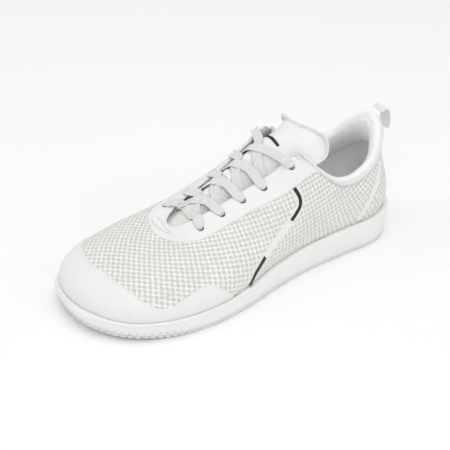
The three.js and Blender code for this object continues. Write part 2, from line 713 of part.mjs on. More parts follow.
function aglet(end) {
  const route = laceRoute();
  const tip = end === "lateral" ? route.at(-1) : route[0];
  const before = end === "lateral" ? route.at(-2) : route[1];
  const along = tip.centre.clone().sub(before.centre).normalize();
  const size = { width: 3.2, thick: 2.2 };
  const at = (reach) => laceStop(tip.centre.clone().addScaledVector(along, reach), tip.across, size);
  return band([at(GAP), at(AGLET_LENGTH / 2), at(AGLET_LENGTH)], 10);
}

// ---- Pull tab ----
// The tab turns about a line along X at y = 139.5, z = 99.2, just under its first point.
const TAB_X = -3;
const TAB_PATH = [
  [140.6, 99.6], [142.6, 101.6], [145.6, 101], [147.8, 97.4], [148.7, 91.5], [148.2, 86],
  [146.4, 83.6],
];

function pullTab() {
  const across = new THREE.Vector3(1, 0, 0);
  const size = { width: TAB_WIDTH, thick: 1.4 };
  const stops = TAB_PATH.map(([y, z]) => laceStop(new THREE.Vector3(TAB_X, y, z), across, size));
  return band(smoothBand(stops, 2), 8);
}

// ---- Materials and assembly ----
function material(color, roughness) {
  return new THREE.MeshStandardMaterial({ color, roughness, metalness: 0 });
}

const RUBBER = material(0xe9e8e4, 0.6);
const FOAM = material(0xf3f2ef, 0.55);
const BOARD = material(0xd8d3c8, 0.9);
const KNIT_YARN = material(0xe6e3dc, 0.85);
const SMOOTH_FILM = material(0xf4f4f3, 0.45);
const BLACK_FILM = material(0x232323, 0.5);
const LINING_CLOTH = material(0xe4e4e3, 0.9);
const LACE_YARN = material(0xdededd, 0.85);
const BINDING = material(0xcfcfce, 0.8);
const PLASTIC = material(0xf0f0ee, 0.4);

const shoe = new THREE.Group();

function add(name, geometry, look) {
  const mesh = new THREE.Mesh(geometry, look);
  mesh.name = name;
  shoe.add(mesh);
}

add("outsole", outsole(), RUBBER);
add("midsole", midsole(), FOAM);
add("strobel_board", strobelBoard(), BOARD);
add("footbed_foam", footbedFoam(), FOAM);
add("footbed_cover", footbedCover(), LINING_CLOTH);
add("mesh_upper", meshUpper(), KNIT_YARN);
add("vamp_lining", vampLining(), LINING_CLOTH);
add("quarter_lining", quarterLining(), LINING_CLOTH);
add("collar_foam", collarFoam(), FOAM);
add("toe_puff", toePuff(), BOARD);
add("heel_counter", heelCounter(), BOARD);
add("toe_cap", toeCap(), SMOOTH_FILM);
add("eyestay", eyestay(), SMOOTH_FILM);
add("eyestay_backing_lateral", eyestayBacking(4, 8), BOARD);
add("eyestay_backing_medial", eyestayBacking(13, 17), BOARD);
add("throat_patch", throatPatch(), SMOOTH_FILM);
add("side_stripe_upper", stripeUpper(), BLACK_FILM);
add("side_stripe_lower", stripeLower(), BLACK_FILM);
add("heel_band_lateral", heelBandLateral(), SMOOTH_FILM);
add("heel_band_medial", heelBandMedial(), SMOOTH_FILM);
add("heel_seam_tape", heelSeamTape(), BINDING);
add("collar_binding", collarBinding(), BINDING);
add("tongue_base", tongueBase(), KNIT_YARN);
add("tongue_flap", tongueFlap(), LINING_CLOTH);
add("tongue_binding", tongueBinding(), BINDING);
add("tongue_label", tongueLabel(), BLACK_FILM);
add("lace_keeper", laceKeeper(), SMOOTH_FILM);
add("lace", lace(), LACE_YARN);
add("aglet_lateral", aglet("lateral"), PLASTIC);
add("aglet_medial", aglet("medial"), PLASTIC);
add("pull_tab", pullTab(), BINDING);

export default shoe;
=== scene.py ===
import math

import bpy
import numpy as np
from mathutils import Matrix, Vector


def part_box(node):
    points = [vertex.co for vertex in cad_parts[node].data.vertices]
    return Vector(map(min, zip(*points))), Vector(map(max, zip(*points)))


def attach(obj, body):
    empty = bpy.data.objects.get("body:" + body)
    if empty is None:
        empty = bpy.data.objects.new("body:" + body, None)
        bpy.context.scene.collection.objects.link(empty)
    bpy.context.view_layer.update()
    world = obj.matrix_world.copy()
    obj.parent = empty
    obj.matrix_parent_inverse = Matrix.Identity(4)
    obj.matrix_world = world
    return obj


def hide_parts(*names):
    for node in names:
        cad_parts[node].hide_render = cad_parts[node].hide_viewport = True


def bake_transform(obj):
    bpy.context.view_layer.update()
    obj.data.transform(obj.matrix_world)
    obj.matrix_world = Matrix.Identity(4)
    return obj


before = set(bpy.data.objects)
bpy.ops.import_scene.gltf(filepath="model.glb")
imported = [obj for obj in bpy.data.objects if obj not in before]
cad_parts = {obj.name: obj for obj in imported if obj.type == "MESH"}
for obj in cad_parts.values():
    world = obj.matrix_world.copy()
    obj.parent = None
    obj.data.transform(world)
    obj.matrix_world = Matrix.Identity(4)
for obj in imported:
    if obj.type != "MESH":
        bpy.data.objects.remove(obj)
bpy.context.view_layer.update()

# One millimetre of the shoe in scene units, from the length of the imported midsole.
SOLE_LENGTH = 289.3808
sole_low, sole_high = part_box("midsole")
MM = (sole_high.y - sole_low.y) / SOLE_LENGTH

# ---- Camera ----
AZIMUTH, ELEVATION, DISTANCE = math.radians(56.5), math.radians(30), 1.1
camera = bpy.data.objects.new("camera", bpy.data.cameras.new("camera"))
bpy.context.scene.collection.objects.link(camera)
towards = Vector(
    (
        math.sin(AZIMUTH) * math.cos(ELEVATION),
        -math.cos(AZIMUTH) * math.cos(ELEVATION),
        math.sin(ELEVATION),
    )
)
camera.location = Vector((0, 0, 40 * MM)) + DISTANCE * towards
camera.rotation_euler = towards.to_track_quat("Z", "Y").to_euler()
camera.data.sensor_width = 36
camera.data.lens = 113.4
camera.data.shift_x = -0.0209
camera.data.shift_y = -0.0031
bpy.context.scene.camera = camera

# ---- The upper's ribs: rand, two pulls and the collar or throat edge, round from the heel ----
RIBS = [
    [[-3, 141, 25], [-3, 147, 48], [-3, 129, 72], [-3, 138, 95]],
    [[15, 136, 25], [19, 142, 48], [14, 127, 68], [14, 132, 87]],
    [[28, 115, 24], [34, 117, 42], [32, 113, 56], [28, 112, 70]],
    [[30, 82, 23], [36, 82, 40], [36, 80, 54], [32, 78, 66]],
    [[33, 42, 21], [43, 42, 44], [41, 40, 70], [23, 42, 96]],
    [[41, 8, 19], [51, 6, 38], [43, 12, 62], [17, 22, 85]],
    [[52, -22, 17], [60, -24, 35], [46, -14, 52], [13, -8, 73]],
    [[58, -56, 15], [65, -57, 31], [49, -46, 44], [11, -38, 64]],
    [[56, -91, 15], [61, -95, 33], [38, -73, 44], [7, -53, 59]],
    [[43, -120, 16], [46, -126, 36], [22, -90, 46], [3, -57, 57]],
    [[18, -136, 17], [16, -145, 38], [5, -102, 49], [0, -58, 57]],
    [[-12, -140, 17], [-14, -149, 40], [-12, -104, 51], [-4, -58, 57]],
    [[-39, -131, 17], [-43, -137, 40], [-28, -95, 51], [-9, -55, 58]],
    [[-51, -104, 16], [-57, -106, 36], [-41, -80, 53], [-12, -47, 63]],
    [[-50, -60, 16], [-57, -60, 34], [-47, -48, 56], [-13, -34, 70]],
    [[-43, -18, 18], [-50, -16, 40], [-42, -8, 67], [-15, -4, 82]],
    [[-38, 18, 20], [-46, 18, 46], [-39, 22, 76], [-18, 24, 96]],
    [[-36, 50, 22], [-44, 48, 46], [-41, 44, 76], [-23, 44, 102]],
    [[-36, 84, 23], [-43, 84, 42], [-42, 82, 58], [-38, 80, 71]],
    [[-34, 115, 24], [-40, 117, 43], [-38, 114, 58], [-34, 113, 73]],
    [[-22, 136, 25], [-26, 142, 48], [-20, 127, 68], [-20, 131, 88]],
]
RIB_COUNT = len(RIBS)
TREAD_EDGE = [
    [-3, 142.5], [15.5, 137.5], [30, 117], [33, 82], [37, 42], [45, 8], [54, -22],
    [60, -57], [57, -92], [42, -123], [16, -140.5], [-13, -142.5], [-40, -134],
    [-53, -105], [-52, -60], [-45, -18], [-40, 18], [-38, 50], [-37, 84], [-35.5, 116],
    [-22, 137],
]

# ---- Curves and surfaces ----
def catmull_rom(pick, f):
    """The curve between pick(0) and pick(1) at the share f, with pick(-1) and pick(2) as neighbours."""
    p0, p1, p2, p3 = (pick(step) for step in (-1, 0, 1, 2))
    second = (2 * p0 - 5 * p1 + 4 * p2 - p3) * f**2
    return 0.5 * (2 * p1 + (p2 - p0) * f + second + (3 * p1 - p0 - 3 * p2 + p3) * f**3)


def smooth_rows(rows, at, wraps=False):
    """Catmull-Rom through rows, read at every position of the array at."""
    rows, at = np.asarray(rows, float), np.asarray(at, float)
    count = len(rows)
    base = np.floor(at if wraps else np.clip(at, 0, count - 1 - 1e-9)).astype(int)
    f = (at - base)[(...,) + (None,) * (rows.ndim - 1)]

    def pick(step):
        k = base + step
        return rows[k % count if wraps else np.clip(k, 0, count - 1)]

    return catmull_rom(pick, f)


def unit(v):
    return v / np.maximum(np.linalg.norm(v, axis=-1, keepdims=True), 1e-9)


def smoothstep(x, low, high):
    t = np.clip((np.asarray(x, float) - low) / (high - low), 0, 1)
    return t * t * (3 - 2 * t)


def lerp(a, b, t):
    return a + (b - a) * t


def run_along(points):
    """The length of the line of points up to each of them."""
    return np.concatenate([[0], np.cumsum(np.linalg.norm(np.diff(points, axis=0), axis=1))])


def knit(u, v):
    u, v = np.broadcast_arrays(np.asarray(u, float), np.asarray(v, float))
    c = smooth_rows(RIBS, u, True)
    w = 1 - v
    weights = np.stack([w**3, 3 * w * w * v, 3 * w * v * v, v**3], -1)
    return (weights[..., None] * c).sum(-2)


def knit_normal(u, v):
    step = 0.02
    u, v = np.broadcast_arrays(np.asarray(u, float), np.asarray(v, float))
    along = knit(u + step, v) - knit(u - step, v)
    up = knit(u, np.minimum(1, v + step)) - knit(u, np.maximum(0, v - step))
    return unit(np.cross(up, along))


def layer(u, v, out):
    """A point at a distance out from the knit's outer face."""
    return knit(u, v) + knit_normal(u, v) * np.asarray(out, float)[..., None]


def rand_normal(u):
    along = knit(u + 0.02, 0) - knit(u - 0.02, 0)
    return unit(np.stack([-along[..., 1], along[..., 0], 0 * along[..., 0]], -1))


def toe_spring(y):
    return 6 * (np.maximum(0, -70 - y) / 75) ** 2


def cup_floor(y):
    return 8.5 + 6.5 * smoothstep(y, -40, 60) + toe_spring(y)


def rib_length(u):
    points = knit(np.asarray(u, float)[..., None], np.linspace(0, 1, 17))
    return np.linalg.norm(np.diff(points, axis=-2), axis=-1).sum(-1)


# ---- Meshes ----
def signed_volume(points, faces):
    volume = 0.0
    for k in range(1, faces.shape[1] - 1):
        a, b, c = points[faces[:, 0]], points[faces[:, k]], points[faces[:, k + 1]]
        volume += (a * np.cross(b, c)).sum()
    return volume


def piece(name, points, faces, materials, uv=None, material_index=None):
    """A mesh made of arrays of quads or triangles, in millimetres. uv has a pair for each corner."""
    points = np.asarray(points, float)
    faces = [np.asarray(f) for f in (faces if isinstance(faces, list) else [faces])]
    uvs = None if uv is None else [np.asarray(t) for t in (uv if isinstance(uv, list) else [uv])]
    if sum(signed_volume(points, f) for f in faces) < 0:
        faces = [f[:, ::-1] for f in faces]
        uvs = None if uvs is None else [t[:, ::-1] for t in uvs]
    mesh = bpy.data.meshes.new(name)
    mesh.from_pydata((points * MM).tolist(), [], [face for f in faces for face in f.tolist()])
    if uvs is not None:
        corners = np.concatenate([t.reshape(-1, 2) for t in uvs])
        mesh.uv_layers.new(name="UVMap").data.foreach_set("uv", corners.astype(np.float32).ravel())
    for material in materials if isinstance(materials, list) else [materials]:
        mesh.materials.append(material)
    if material_index is not None:
        mesh.polygons.foreach_set("material_index", np.asarray(material_index, np.int32))
    mesh.shade_smooth()
    mesh.update()
    obj = bpy.data.objects.new(name, mesh)
    bpy.context.scene.collection.objects.link(obj)
    return obj


def index_grid(count_i, count_j):
    return (g.ravel() for g in np.meshgrid(np.arange(count_i), np.arange(count_j), indexing="ij"))


def tube_faces(count, sides):
    """Quads of a tube of count rings, with the ring i and the side j at which each starts."""
    i, j = index_grid(count - 1, sides)
    a, b = i * sides + j, i * sides + (j + 1) % sides
    return np.stack([a, b, b + sides, a + sides], 1), i, j


def tube_uv(i, j, next_j, girth, run):
    corners = ((j, i), (next_j, i), (next_j, i + 1), (j, i + 1))
    return np.stack([np.stack([girth[p], run[q]], -1) for p, q in corners], 1)


def fan_caps(sides, last):
    """Triangles over a tube's first ring and over its last one, which starts at the index last."""
    k = np.arange(1, sides - 1)
    return np.concatenate([np.stack([0 * k, k + 1, k], 1), last + np.stack([0 * k, k, k + 1], 1)])


def slab(outer, inner, uv, wraps=False):
    """Points, faces and corner uv of the sheet between two grids of points, closed at its edges."""
    count_u, count_v = outer.shape[:2]
    columns = count_u - 1 if wraps else count_u
    points = np.concatenate([outer[:columns].reshape(-1, 3), inner[:columns].reshape(-1, 3)])
    corners = []

    def add(*four):
        grids = [np.broadcast_arrays(*[np.asarray(x) for x in corner]) for corner in four]
        corners.append(np.stack([np.stack([g.ravel() for g in grid], -1) for grid in grids], 1))

    i, j = index_grid(count_u - 1, count_v - 1)
    add((0, i, j), (0, i, j + 1), (0, i + 1, j + 1), (0, i + 1, j))
    add((1, i, j), (1, i + 1, j), (1, i + 1, j + 1), (1, i, j + 1))
    i, top = np.arange(count_u - 1), count_v - 1
    add((0, i, 0), (0, i + 1, 0), (1, i + 1, 0), (1, i, 0))
    add((0, i, top), (1, i, top), (1, i + 1, top), (0, i + 1, top))
    if not wraps:
        j, end = np.arange(count_v - 1), count_u - 1
        add((0, 0, j), (1, 0, j), (1, 0, j + 1), (0, 0, j + 1))
        add((0, end, j), (0, end, j + 1), (1, end, j + 1), (1, end, j))
    c = np.concatenate(corners)
    faces = c[..., 0] * columns * count_v + (c[..., 1] % columns) * count_v + c[..., 2]
    return points, faces, uv[c[..., 1], c[..., 2]]


def stack(rings):
    """Rings of equal count joined one to the next, closed by strips laid straight across the shoe."""
    rings = np.asarray(rings)
    layers, count = rings.shape[:2]
    quads, _, _ = tube_faces(layers, count)
    i = np.arange(1, (count - 1) // 2)
    across = np.stack([i, count - i, count - 1 - i, i + 1], 1)
    ends = np.array([[0, count - 1, 1]])
    middle = (count - 1) // 2
    tail = [[middle, count - middle, middle + 1]] if count - middle > middle + 1 else []
    caps = np.concatenate([ends, np.array(tail, int).reshape(-1, 3)])
    last = (layers - 1) * count
    quads = np.concatenate([quads, across, last + across[:, ::-1]])
    return rings.reshape(-1, 3), [quads, np.concatenate([caps, last + caps[:, ::-1]])]


def spaced(count, ends=0.5):
    """Steps from 0 to 1, closer together near both ends."""
    t = np.linspace(0, 1, count)
    return lerp(t, 0.5 - 0.5 * np.cos(np.pi * t), ends)


def border(points, softness=0.22):
    """A height for each u through the listed [u, v], with its corners rounded over softness."""
    at, value = np.array(points, float).T
    grid = np.linspace(at[0] - 1, at[-1] + 1, 1601)
    window = np.hanning(max(5, int(softness / (grid[1] - grid[0])) | 1))
    wide = np.interp(grid, at, value)
    half = len(window) // 2
    soft = np.convolve(np.pad(wide, half, mode="edge"), window / window.sum(), "valid")
    return lambda u: np.interp(u, grid, soft)


def flat(v):
    return lambda u: np.full(np.shape(u), float(v))


def round_edge(distance, radius):
    return np.sqrt(np.clip(1 - (1 - np.clip(distance / radius, 0, 1)) ** 2, 0, 1))


def sheet(name, face, under, uv_x, uv_y, material):
    """A thin body between two grids of points, with its weave's millimetres as uv."""
    points, faces, uv = slab(face, under, np.stack(np.broadcast_arrays(uv_x, uv_y), -1))
    return piece(name, points, faces, material, uv)


# ---- Materials ----
class Graph:
    """A node material. Values that hold for the whole surface go on the shader's own sockets."""

    def __init__(self, name, **sockets):
        self.material = bpy.data.materials.new(name)
        self.material.use_nodes = True
        self.tree = self.material.node_tree
        self.shader = self.tree.nodes["Principled BSDF"]
        for socket, value in sockets.items():
            self.shader.inputs[socket.replace("_", " ")].default_value = value

    def node(self, kind, inputs=(), **settings):
        node = self.tree.nodes.new("ShaderNode" + kind)
        for key, value in settings.items():
            setattr(node, key, value)
        pairs = inputs.items() if isinstance(inputs, dict) else enumerate(inputs)
        for key, value in pairs:
            if isinstance(value, bpy.types.NodeSocket):
                self.tree.links.new(value, node.inputs[key])
            elif value is not None:
                node.inputs[key].default_value = value
        return node

    def math(self, operation, *values):
        return self.node("Math", values, operation=operation).outputs[0]

    def vector(self, operation, *values):
        node = self.node("VectorMath", values, operation=operation)
        return node.outputs[1 if operation == "LENGTH" else 0]

    def uv(self):
        return self.node("UVMap", uv_map="UVMap").outputs[0]

    def place(self):
        return self.node("TexCoord").outputs["Object"]

    def step(self, value, low, high, start=0.0, end=1.0):
        inputs = (value, low, high, start, end)
        return self.node("MapRange", inputs, interpolation_type="SMOOTHSTEP").outputs[0]

    def noise(self, vector, scale, detail=3.0, roughness=0.5):
        inputs = {"Vector": vector, "Scale": scale, "Detail": detail, "Roughness": roughness}
        return self.node("TexNoise", inputs).outputs[0]

    def mix(self, factor, a, b):
        node = self.node("Mix", {0: factor, 6: colour(a), 7: colour(b)}, data_type="RGBA")
        return node.outputs[2]

    def parts(self, vector):
        return self.node("SeparateXYZ", (vector,)).outputs

    def wave(self, value, pitch):
        """From 0 to 1 and back once in each pitch."""
        turned = self.math("MULTIPLY", value, 2 * math.pi / pitch)
        return self.math("MULTIPLY_ADD", self.math("COSINE", turned), -0.5, 0.5)

    def finish(self, base, height=None, depth=0.0002, strength=1.0, roughness=None):
        self.tree.links.new(base, self.shader.inputs["Base Color"])
        if roughness is not None:
            self.tree.links.new(roughness, self.shader.inputs["Roughness"])
        if height is not None:
            inputs = {"Strength": strength, "Distance": depth, "Height": height}
            bump = self.node("Bump", inputs)
            self.tree.links.new(bump.outputs[0], self.shader.inputs["Normal"])
        return self.material


def colour(value):
    return value if isinstance(value, bpy.types.NodeSocket) else (*value, 1.0)


def cells(g, place, pitch, radius):
    """How far each point is from the nearest of the staggered cells, as a share of the cell's radius."""
    cell = g.vector("DIVIDE", place, (pitch[0], pitch[1], 1))
    found = []
    for shift in (0.0, 0.5):
        moved = g.vector("FRACTION", g.vector("ADD", cell, (shift, shift, 0)))
        centred = g.vector("SUBTRACT", moved, (0.5, 0.5, 0))
        scale = (pitch[0] / radius[0], pitch[1] / radius[1], 0)
        found.append(g.vector("LENGTH", g.vector("MULTIPLY", centred, scale)))
    return g.math("MINIMUM", *found)


def knit_material(name, yarn, hole, pitch=(5.0, 5.5), radius=(1.35, 1.7), depth=0.0009):
    """Spacer knit: staggered open cells between rounded yarn bridges, with the loops of the yarn on them."""
    g = Graph(name, Roughness=0.9, Sheen_Weight=0.15, Specular_IOR_Level=0.2)
    uv = g.uv()
    wander = g.node("TexNoise", {"Vector": uv, "Scale": 0.5, "Detail": 3.0}).outputs[1]
    soft = g.vector("MULTIPLY_ADD", wander, (2.2, 2.2, 0), uv)
    distance = cells(g, soft, pitch, radius)
    ridge = g.step(distance, 0.35, 1.25)
    x, y, _ = g.parts(uv)
    loops = g.math("MULTIPLY", g.wave(x, 0.8), g.wave(y, 1.15))
    fuzz = g.noise(uv, 1.3, 3.0)
    height = g.math("ADD", g.math("MULTIPLY_ADD", loops, 0.2, ridge), g.math("MULTIPLY", fuzz, 0.25))
    patchy = g.noise(uv, 0.05, 2.0)
    light = g.mix(g.step(patchy, 0.35, 0.65), yarn, tuple(0.965 * c for c in yarn))
    # Painted shade: the yarn darkens where its loops and fuzz are low, and the open cells take the hole
    # colour as shade.
    relief_shade = g.math("MULTIPLY_ADD", g.step(fuzz, 0.3, 0.7), 0.22, g.math("MULTIPLY_ADD", loops, 0.1, 0.76))
    tone = g.mix(g.math("MULTIPLY", ridge, relief_shade), hole, light)
    return g.finish(tone, height, depth, 0.9)


def cloth_material(name, light, dark, pitch=0.9, depth=0.00012, rough=0.9):
    """Plain weave on the surface's own millimetres."""
    g = Graph(name, Roughness=rough, Sheen_Weight=0.2, Specular_IOR_Level=0.2)
    uv = g.uv()
    x, y, _ = g.parts(uv)
    across, along = g.wave(x, pitch), g.wave(y, pitch)
    check = g.wave(g.math("ADD", x, y), 2 * pitch)
    between = g.math("SUBTRACT", 1.0, check)
    height = g.math("ADD", g.math("MULTIPLY", across, check), g.math("MULTIPLY", along, between))
    patchy = g.noise(uv, 0.12, 3.0)
    # Painted shade: the cloth is darker where its weave is low, with random patches on top.
    tone = g.mix(g.math("MULTIPLY_ADD", patchy, 0.35, g.math("MULTIPLY", height, 0.6)), dark, light)
    return g.finish(tone, height, depth, 0.7)


def film_material(name, light, rough=0.42):
    """Heat-bonded film: satin, with the faint unevenness of the cloth under it."""
    g = Graph(name, Specular_IOR_Level=0.4)
    place = g.place()
    under, fine = g.noise(place, 90.0, 2.0), g.noise(place, 1680.0, 3.0)
    height = g.math("MULTIPLY_ADD", fine, 0.25, under)
    scuffs = g.step(g.noise(place, 60.0, 5.0, 0.6), 0.5, 0.75)
    tone = g.mix(g.math("MULTIPLY", scuffs, 0.5), light, tuple(0.93 * c for c in light))
    roughness = g.math("MULTIPLY_ADD", fine, 0.15, rough)
    return g.finish(tone, height, 0.0002, 0.35, roughness)


def foam_material(name, light, rough=0.5, pebble=1500.0, depth=0.00008, tint_strength=0.04):
    """Moulded foam or rubber: fine pebble grain, with faint darker, yellower blotches, stronger towards the
    bottom.
    """
    g = Graph(name, Specular_IOR_Level=0.35)
    place = g.place()
    grain = g.node("TexVoronoi", {"Vector": place, "Scale": pebble}, feature="SMOOTH_F1").outputs[0]
    cloud = g.noise(place, 70.0, 4.0)
    low = g.step(g.parts(place)[2], 0.0, 0.012, 1.0, 0.0)
    blotches = g.math("MULTIPLY", g.step(cloud, 0.4, 0.7), g.math("MULTIPLY_ADD", low, 0.7, 0.3))
    tone = g.mix(blotches, light, tuple(c * (1 - tint_strength * k) for c, k in zip(light, (1.0, 1.3, 2.0))))
    roughness = g.math("MULTIPLY_ADD", cloud, 0.2, rough - 0.1)
    return g.finish(tone, grain, depth, 0.5, roughness)


def felt_material(name, light, dark):
    g = Graph(name, Roughness=0.95, Sheen_Weight=0.3, Specular_IOR_Level=0.15)
    place = g.place()
    long, short = g.noise(place, 260.0, 6.0, 0.7), g.noise(place, 1400.0, 3.0)
    return g.finish(g.mix(long, dark, light), g.math("ADD", long, short), 0.0002, 0.6)


def tape_material(name, light, dark, rib=0.8, cross=0.55):
    """A woven tape: ribs along its length (y), with the cross thread showing over each rib."""
    g = Graph(name, Roughness=0.82, Sheen_Weight=0.15, Specular_IOR_Level=0.25)
    uv = g.uv()
    x, y, _ = g.parts(uv)
    ribs = g.wave(x, rib)
    slant = g.math("ADD", y, g.math("MULTIPLY", ribs, 0.35))
    threads = g.wave(slant, cross)
    height = g.math("MULTIPLY_ADD", threads, 0.5, ribs)
    blotches = g.noise(uv, 0.3, 3.0)
    shade = g.math("MULTIPLY_ADD", height, 0.5, g.math("MULTIPLY", blotches, 0.3))
    return g.finish(g.mix(shade, dark, light), height, 0.00014, 0.8)


# The knit's second colour is the painted shade seen in its open cells.
KNIT = knit_material("knit", (0.98, 0.97, 0.945), (0.70, 0.685, 0.64))
KNIT_BACK = cloth_material("knit_back", (0.9, 0.89, 0.87), (0.82, 0.81, 0.79))
# The tongue's knit: its cells' painted shade is lighter than the upper's, as painted light against the shade
# deep in the throat.
TONGUE_KNIT = knit_material(
    "tongue_knit", (0.98, 0.965, 0.93), (0.82, 0.79, 0.73), (3.4, 3.8), (0.9, 1.1), 0.0003
)
FILM = film_material("film", (0.83, 0.83, 0.825))
CRESCENT = film_material("crescent_film", (0.86, 0.86, 0.855), 0.5)
BLACK = film_material("black_film", (0.018, 0.018, 0.018), 0.4)
FOAM = foam_material("midsole_foam", (0.86, 0.86, 0.855))
RUBBER = foam_material("outsole_rubber", (0.80, 0.80, 0.79), 0.6, 900.0, 0.00012, 0.05)
SOFT_FOAM = foam_material("open_cell_foam", (0.84, 0.82, 0.72), 0.9, 700.0, 0.0003)
LINING = cloth_material("lining", (0.95, 0.95, 0.95), (0.9, 0.9, 0.9))
FOOTBED = cloth_material("footbed_cloth", (0.80, 0.80, 0.80), (0.66, 0.66, 0.66), 1.2)
TONGUE_SKIN = cloth_material("tongue_skin", (0.90, 0.90, 0.895), (0.82, 0.82, 0.815), 0.6, 0.00006, 0.75)
FELT = felt_material("eyestay_felt", (0.90, 0.90, 0.89), (0.82, 0.82, 0.81))
BOARD = felt_material("board", (0.66, 0.61, 0.52), (0.52, 0.47, 0.39))
LACE = tape_material("lace_yarn", (0.91, 0.91, 0.915), (0.55, 0.55, 0.56), 1.45, 0.9)
WEBBING = tape_material("webbing", (0.93, 0.93, 0.93), (0.74, 0.74, 0.745), 1.1, 0.7)
BINDING = tape_material("edge_tape", (0.9, 0.9, 0.9), (0.76, 0.76, 0.765), 0.6, 0.5)
THREAD = tape_material("thread", (0.72, 0.72, 0.73), (0.50, 0.50, 0.51), 0.3, 0.4)
TIP = film_material("tip_plastic", (0.85, 0.85, 0.84), 0.2)


def dress(obj, body, slot, *nodes):
    """The piece rides on its body and stands for these CAD nodes. slot is not used."""
    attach(obj, body)
    if nodes:
        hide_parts(*nodes)
    return obj


# ---- Sole ----
SOLE_STEPS = 1260
ring_u = np.arange(SOLE_STEPS) * RIB_COUNT / SOLE_STEPS
ring_out = rand_normal(ring_u)
tread_ring = np.concatenate([smooth_rows(TREAD_EDGE, ring_u, True), np.zeros((SOLE_STEPS, 1))], 1)
rand_ring = knit(ring_u, 0)
OUTSOLE_THICK, GAP = 2.6, 0.3
NOTCH_PITCH = 5.6


def sole_ring(spread, height):
    ring = tread_ring + ring_out * np.reshape(spread, (-1, 1))
    ring[:, 2] = height(ring[:, 1])
    return ring


def rand_line(spread, height):
    ring = rand_ring + ring_out * np.reshape(spread, (-1, 1))
    ring[:, 2] = height(ring[:, 1]) if callable(height) else height
    return ring


def smooth_rings(rings, per_ring, sharp=()):
    """More rings on a smooth curve through the given ones. The sharp ones stay as corners."""
    rings = np.asarray(rings)
    stops = sorted({0, len(rings) - 1, *sharp})
    found = [rings[0]]
    for first, last in zip(stops, stops[1:]):
        run = rings[first : last + 1]
        at = np.linspace(0, last - first, (last - first) * per_ring + 1)[1:]
        found.extend(smooth_rows(run, at))
    return found


def cutter(name, points, faces):
    obj = piece(name, points, faces, BOARD)
    obj.hide_render = True
    return obj


def cut(obj, tool):
    """Takes the tool's solid out of obj."""
    modifier = obj.modifiers.new("cut", "BOOLEAN")
    modifier.operation, modifier.solver, modifier.object = "DIFFERENCE", "EXACT", tool
    apply_modifiers(obj)


def apply_modifiers(obj):
    evaluated = obj.evaluated_get(bpy.context.evaluated_depsgraph_get())
    old, new = obj.data, bpy.data.meshes.new_from_object(evaluated)
    obj.modifiers.clear()
    obj.data = new
    bpy.data.meshes.remove(old)


def toe_notches(ring, full_from, low, high):
    """From 0 to 1 at each small notch round the toe. low and high set how wide a notch is."""
    wave = np.cos(2 * np.pi * run_along(ring) / NOTCH_PITCH)
    return smoothstep(-ring[:, 1], 60, full_from) * smoothstep(wave, low, high)


def outsole():
    notch = toe_notches(tread_ring, 85, 0.55, 0.85)
    # Each step is (distance out, depth of the notches, height).
    steps = [
        (-2.4, 0, 0), (-1.2, 1.0, 0.15), (-0.5, 1.5, 0.7), (-0.1, 1.8, 1.3),
        (0.15, 1.8, 2.0), (0.0, 0, 2.45), (-0.6, 0, OUTSOLE_THICK),
    ]
    rings = [sole_ring(out - deep * notch, lambda y, up=up: toe_spring(y) + up) for out, deep, up in steps]
    obj = piece("tread_outsole", *stack(rings), RUBBER)
    tool = groove_tool()
    cut(obj, tool)
    bpy.data.objects.remove(tool)
    return dress(obj, "shoe", "rubber", "outsole")


def groove_tool():
    """Chevron grooves across the tread with thin wavy sipes between them, as one mesh to take away."""
    first_y, spacing, chevron = -122, 6.5, 0.12
    points, faces, count = [], [], 0
    across = np.linspace(-72, 72, 97)
    for k in range(34):
        main = k % 4 == 1
        y = first_y + spacing * k + (0 if main else 0.4 * np.sin(across * 0.9))
        y = y + chevron * np.abs(across)
        half, deep = (1.5, 1.2) if main else (0.55, 0.6)
        floor = toe_spring(y)
        rows = [
            np.stack([across, y + side * half, floor + height], 1)
            for side, height in ((-1.15, -2), (1.15, -2), (0.8, deep), (-0.8, deep))
        ]
        points.append(np.stack(rows, 1).reshape(-1, 3))
        last = (len(across) - 1) * 4
        ends = np.array([[0, 3, 2, 1], [last, last + 1, last + 2, last + 3]])
        faces += [count + tube_faces(len(across), 4)[0], count + ends]
        count += 4 * len(across)
    return cutter("groove_tool", np.concatenate(points), np.concatenate(faces))


def midsole():
    top = rand_ring[:, 2]
    # The cup stands clear of the knit, and further out where the toe cap's film comes down to it.
    inner = 0.25 + 0.75 * smoothstep(ring_u, 6.3, 6.5) * (1 - smoothstep(ring_u, 14.3, 14.5))
    notch = toe_notches(sole_ring(1.0, toe_spring), 90, 0.72, 0.9)

    def base(y):
        return toe_spring(y) + OUTSOLE_THICK + GAP

    def wall(spread, part):
        ring = sole_ring(spread, base)
        ring[:, 2] = lerp(ring[:, 2], top, part)
        return ring

    rings = [
        sole_ring(-1.4, lambda y: base(y) - 0.15),
        sole_ring(-0.5, lambda y: base(y) - 0.1),
        sole_ring(0.0 - 0.9 * notch, lambda y: base(y) + 0.5),
        wall(0.6 - 1.2 * notch, 0.14),
        wall(1.15 - 1.1 * notch, 0.28),
        wall(1.45, 0.38),
        wall(1.75, 0.6),
        wall(1.7, 0.8),
        lerp(wall(1.4, 0.93), rand_line(4.6, top - 0.8), 0.4),
        rand_line(4.1, top + 0.2),
        rand_line(3.3, top + 0.75),
        rand_line(2.3, top + 0.7),
        rand_line(inner + 0.1, top + 0.45),
        rand_line(inner, top - 0.6),
        rand_line(inner, cup_floor),
    ]
    obj = piece("cup_midsole", *stack(smooth_rings(rings, 4, sharp=(12, 13))), FOAM)
    return dress(obj, "shoe", "foam", "midsole")


def floor_rings(profile):
    """Rings over the cup's floor. Each step is (distance out from the linings, height above the floor)."""
    inside = -3.5
    return [rand_line(inside + out, lambda y, up=up: cup_floor(y) + up) for out, up in profile]


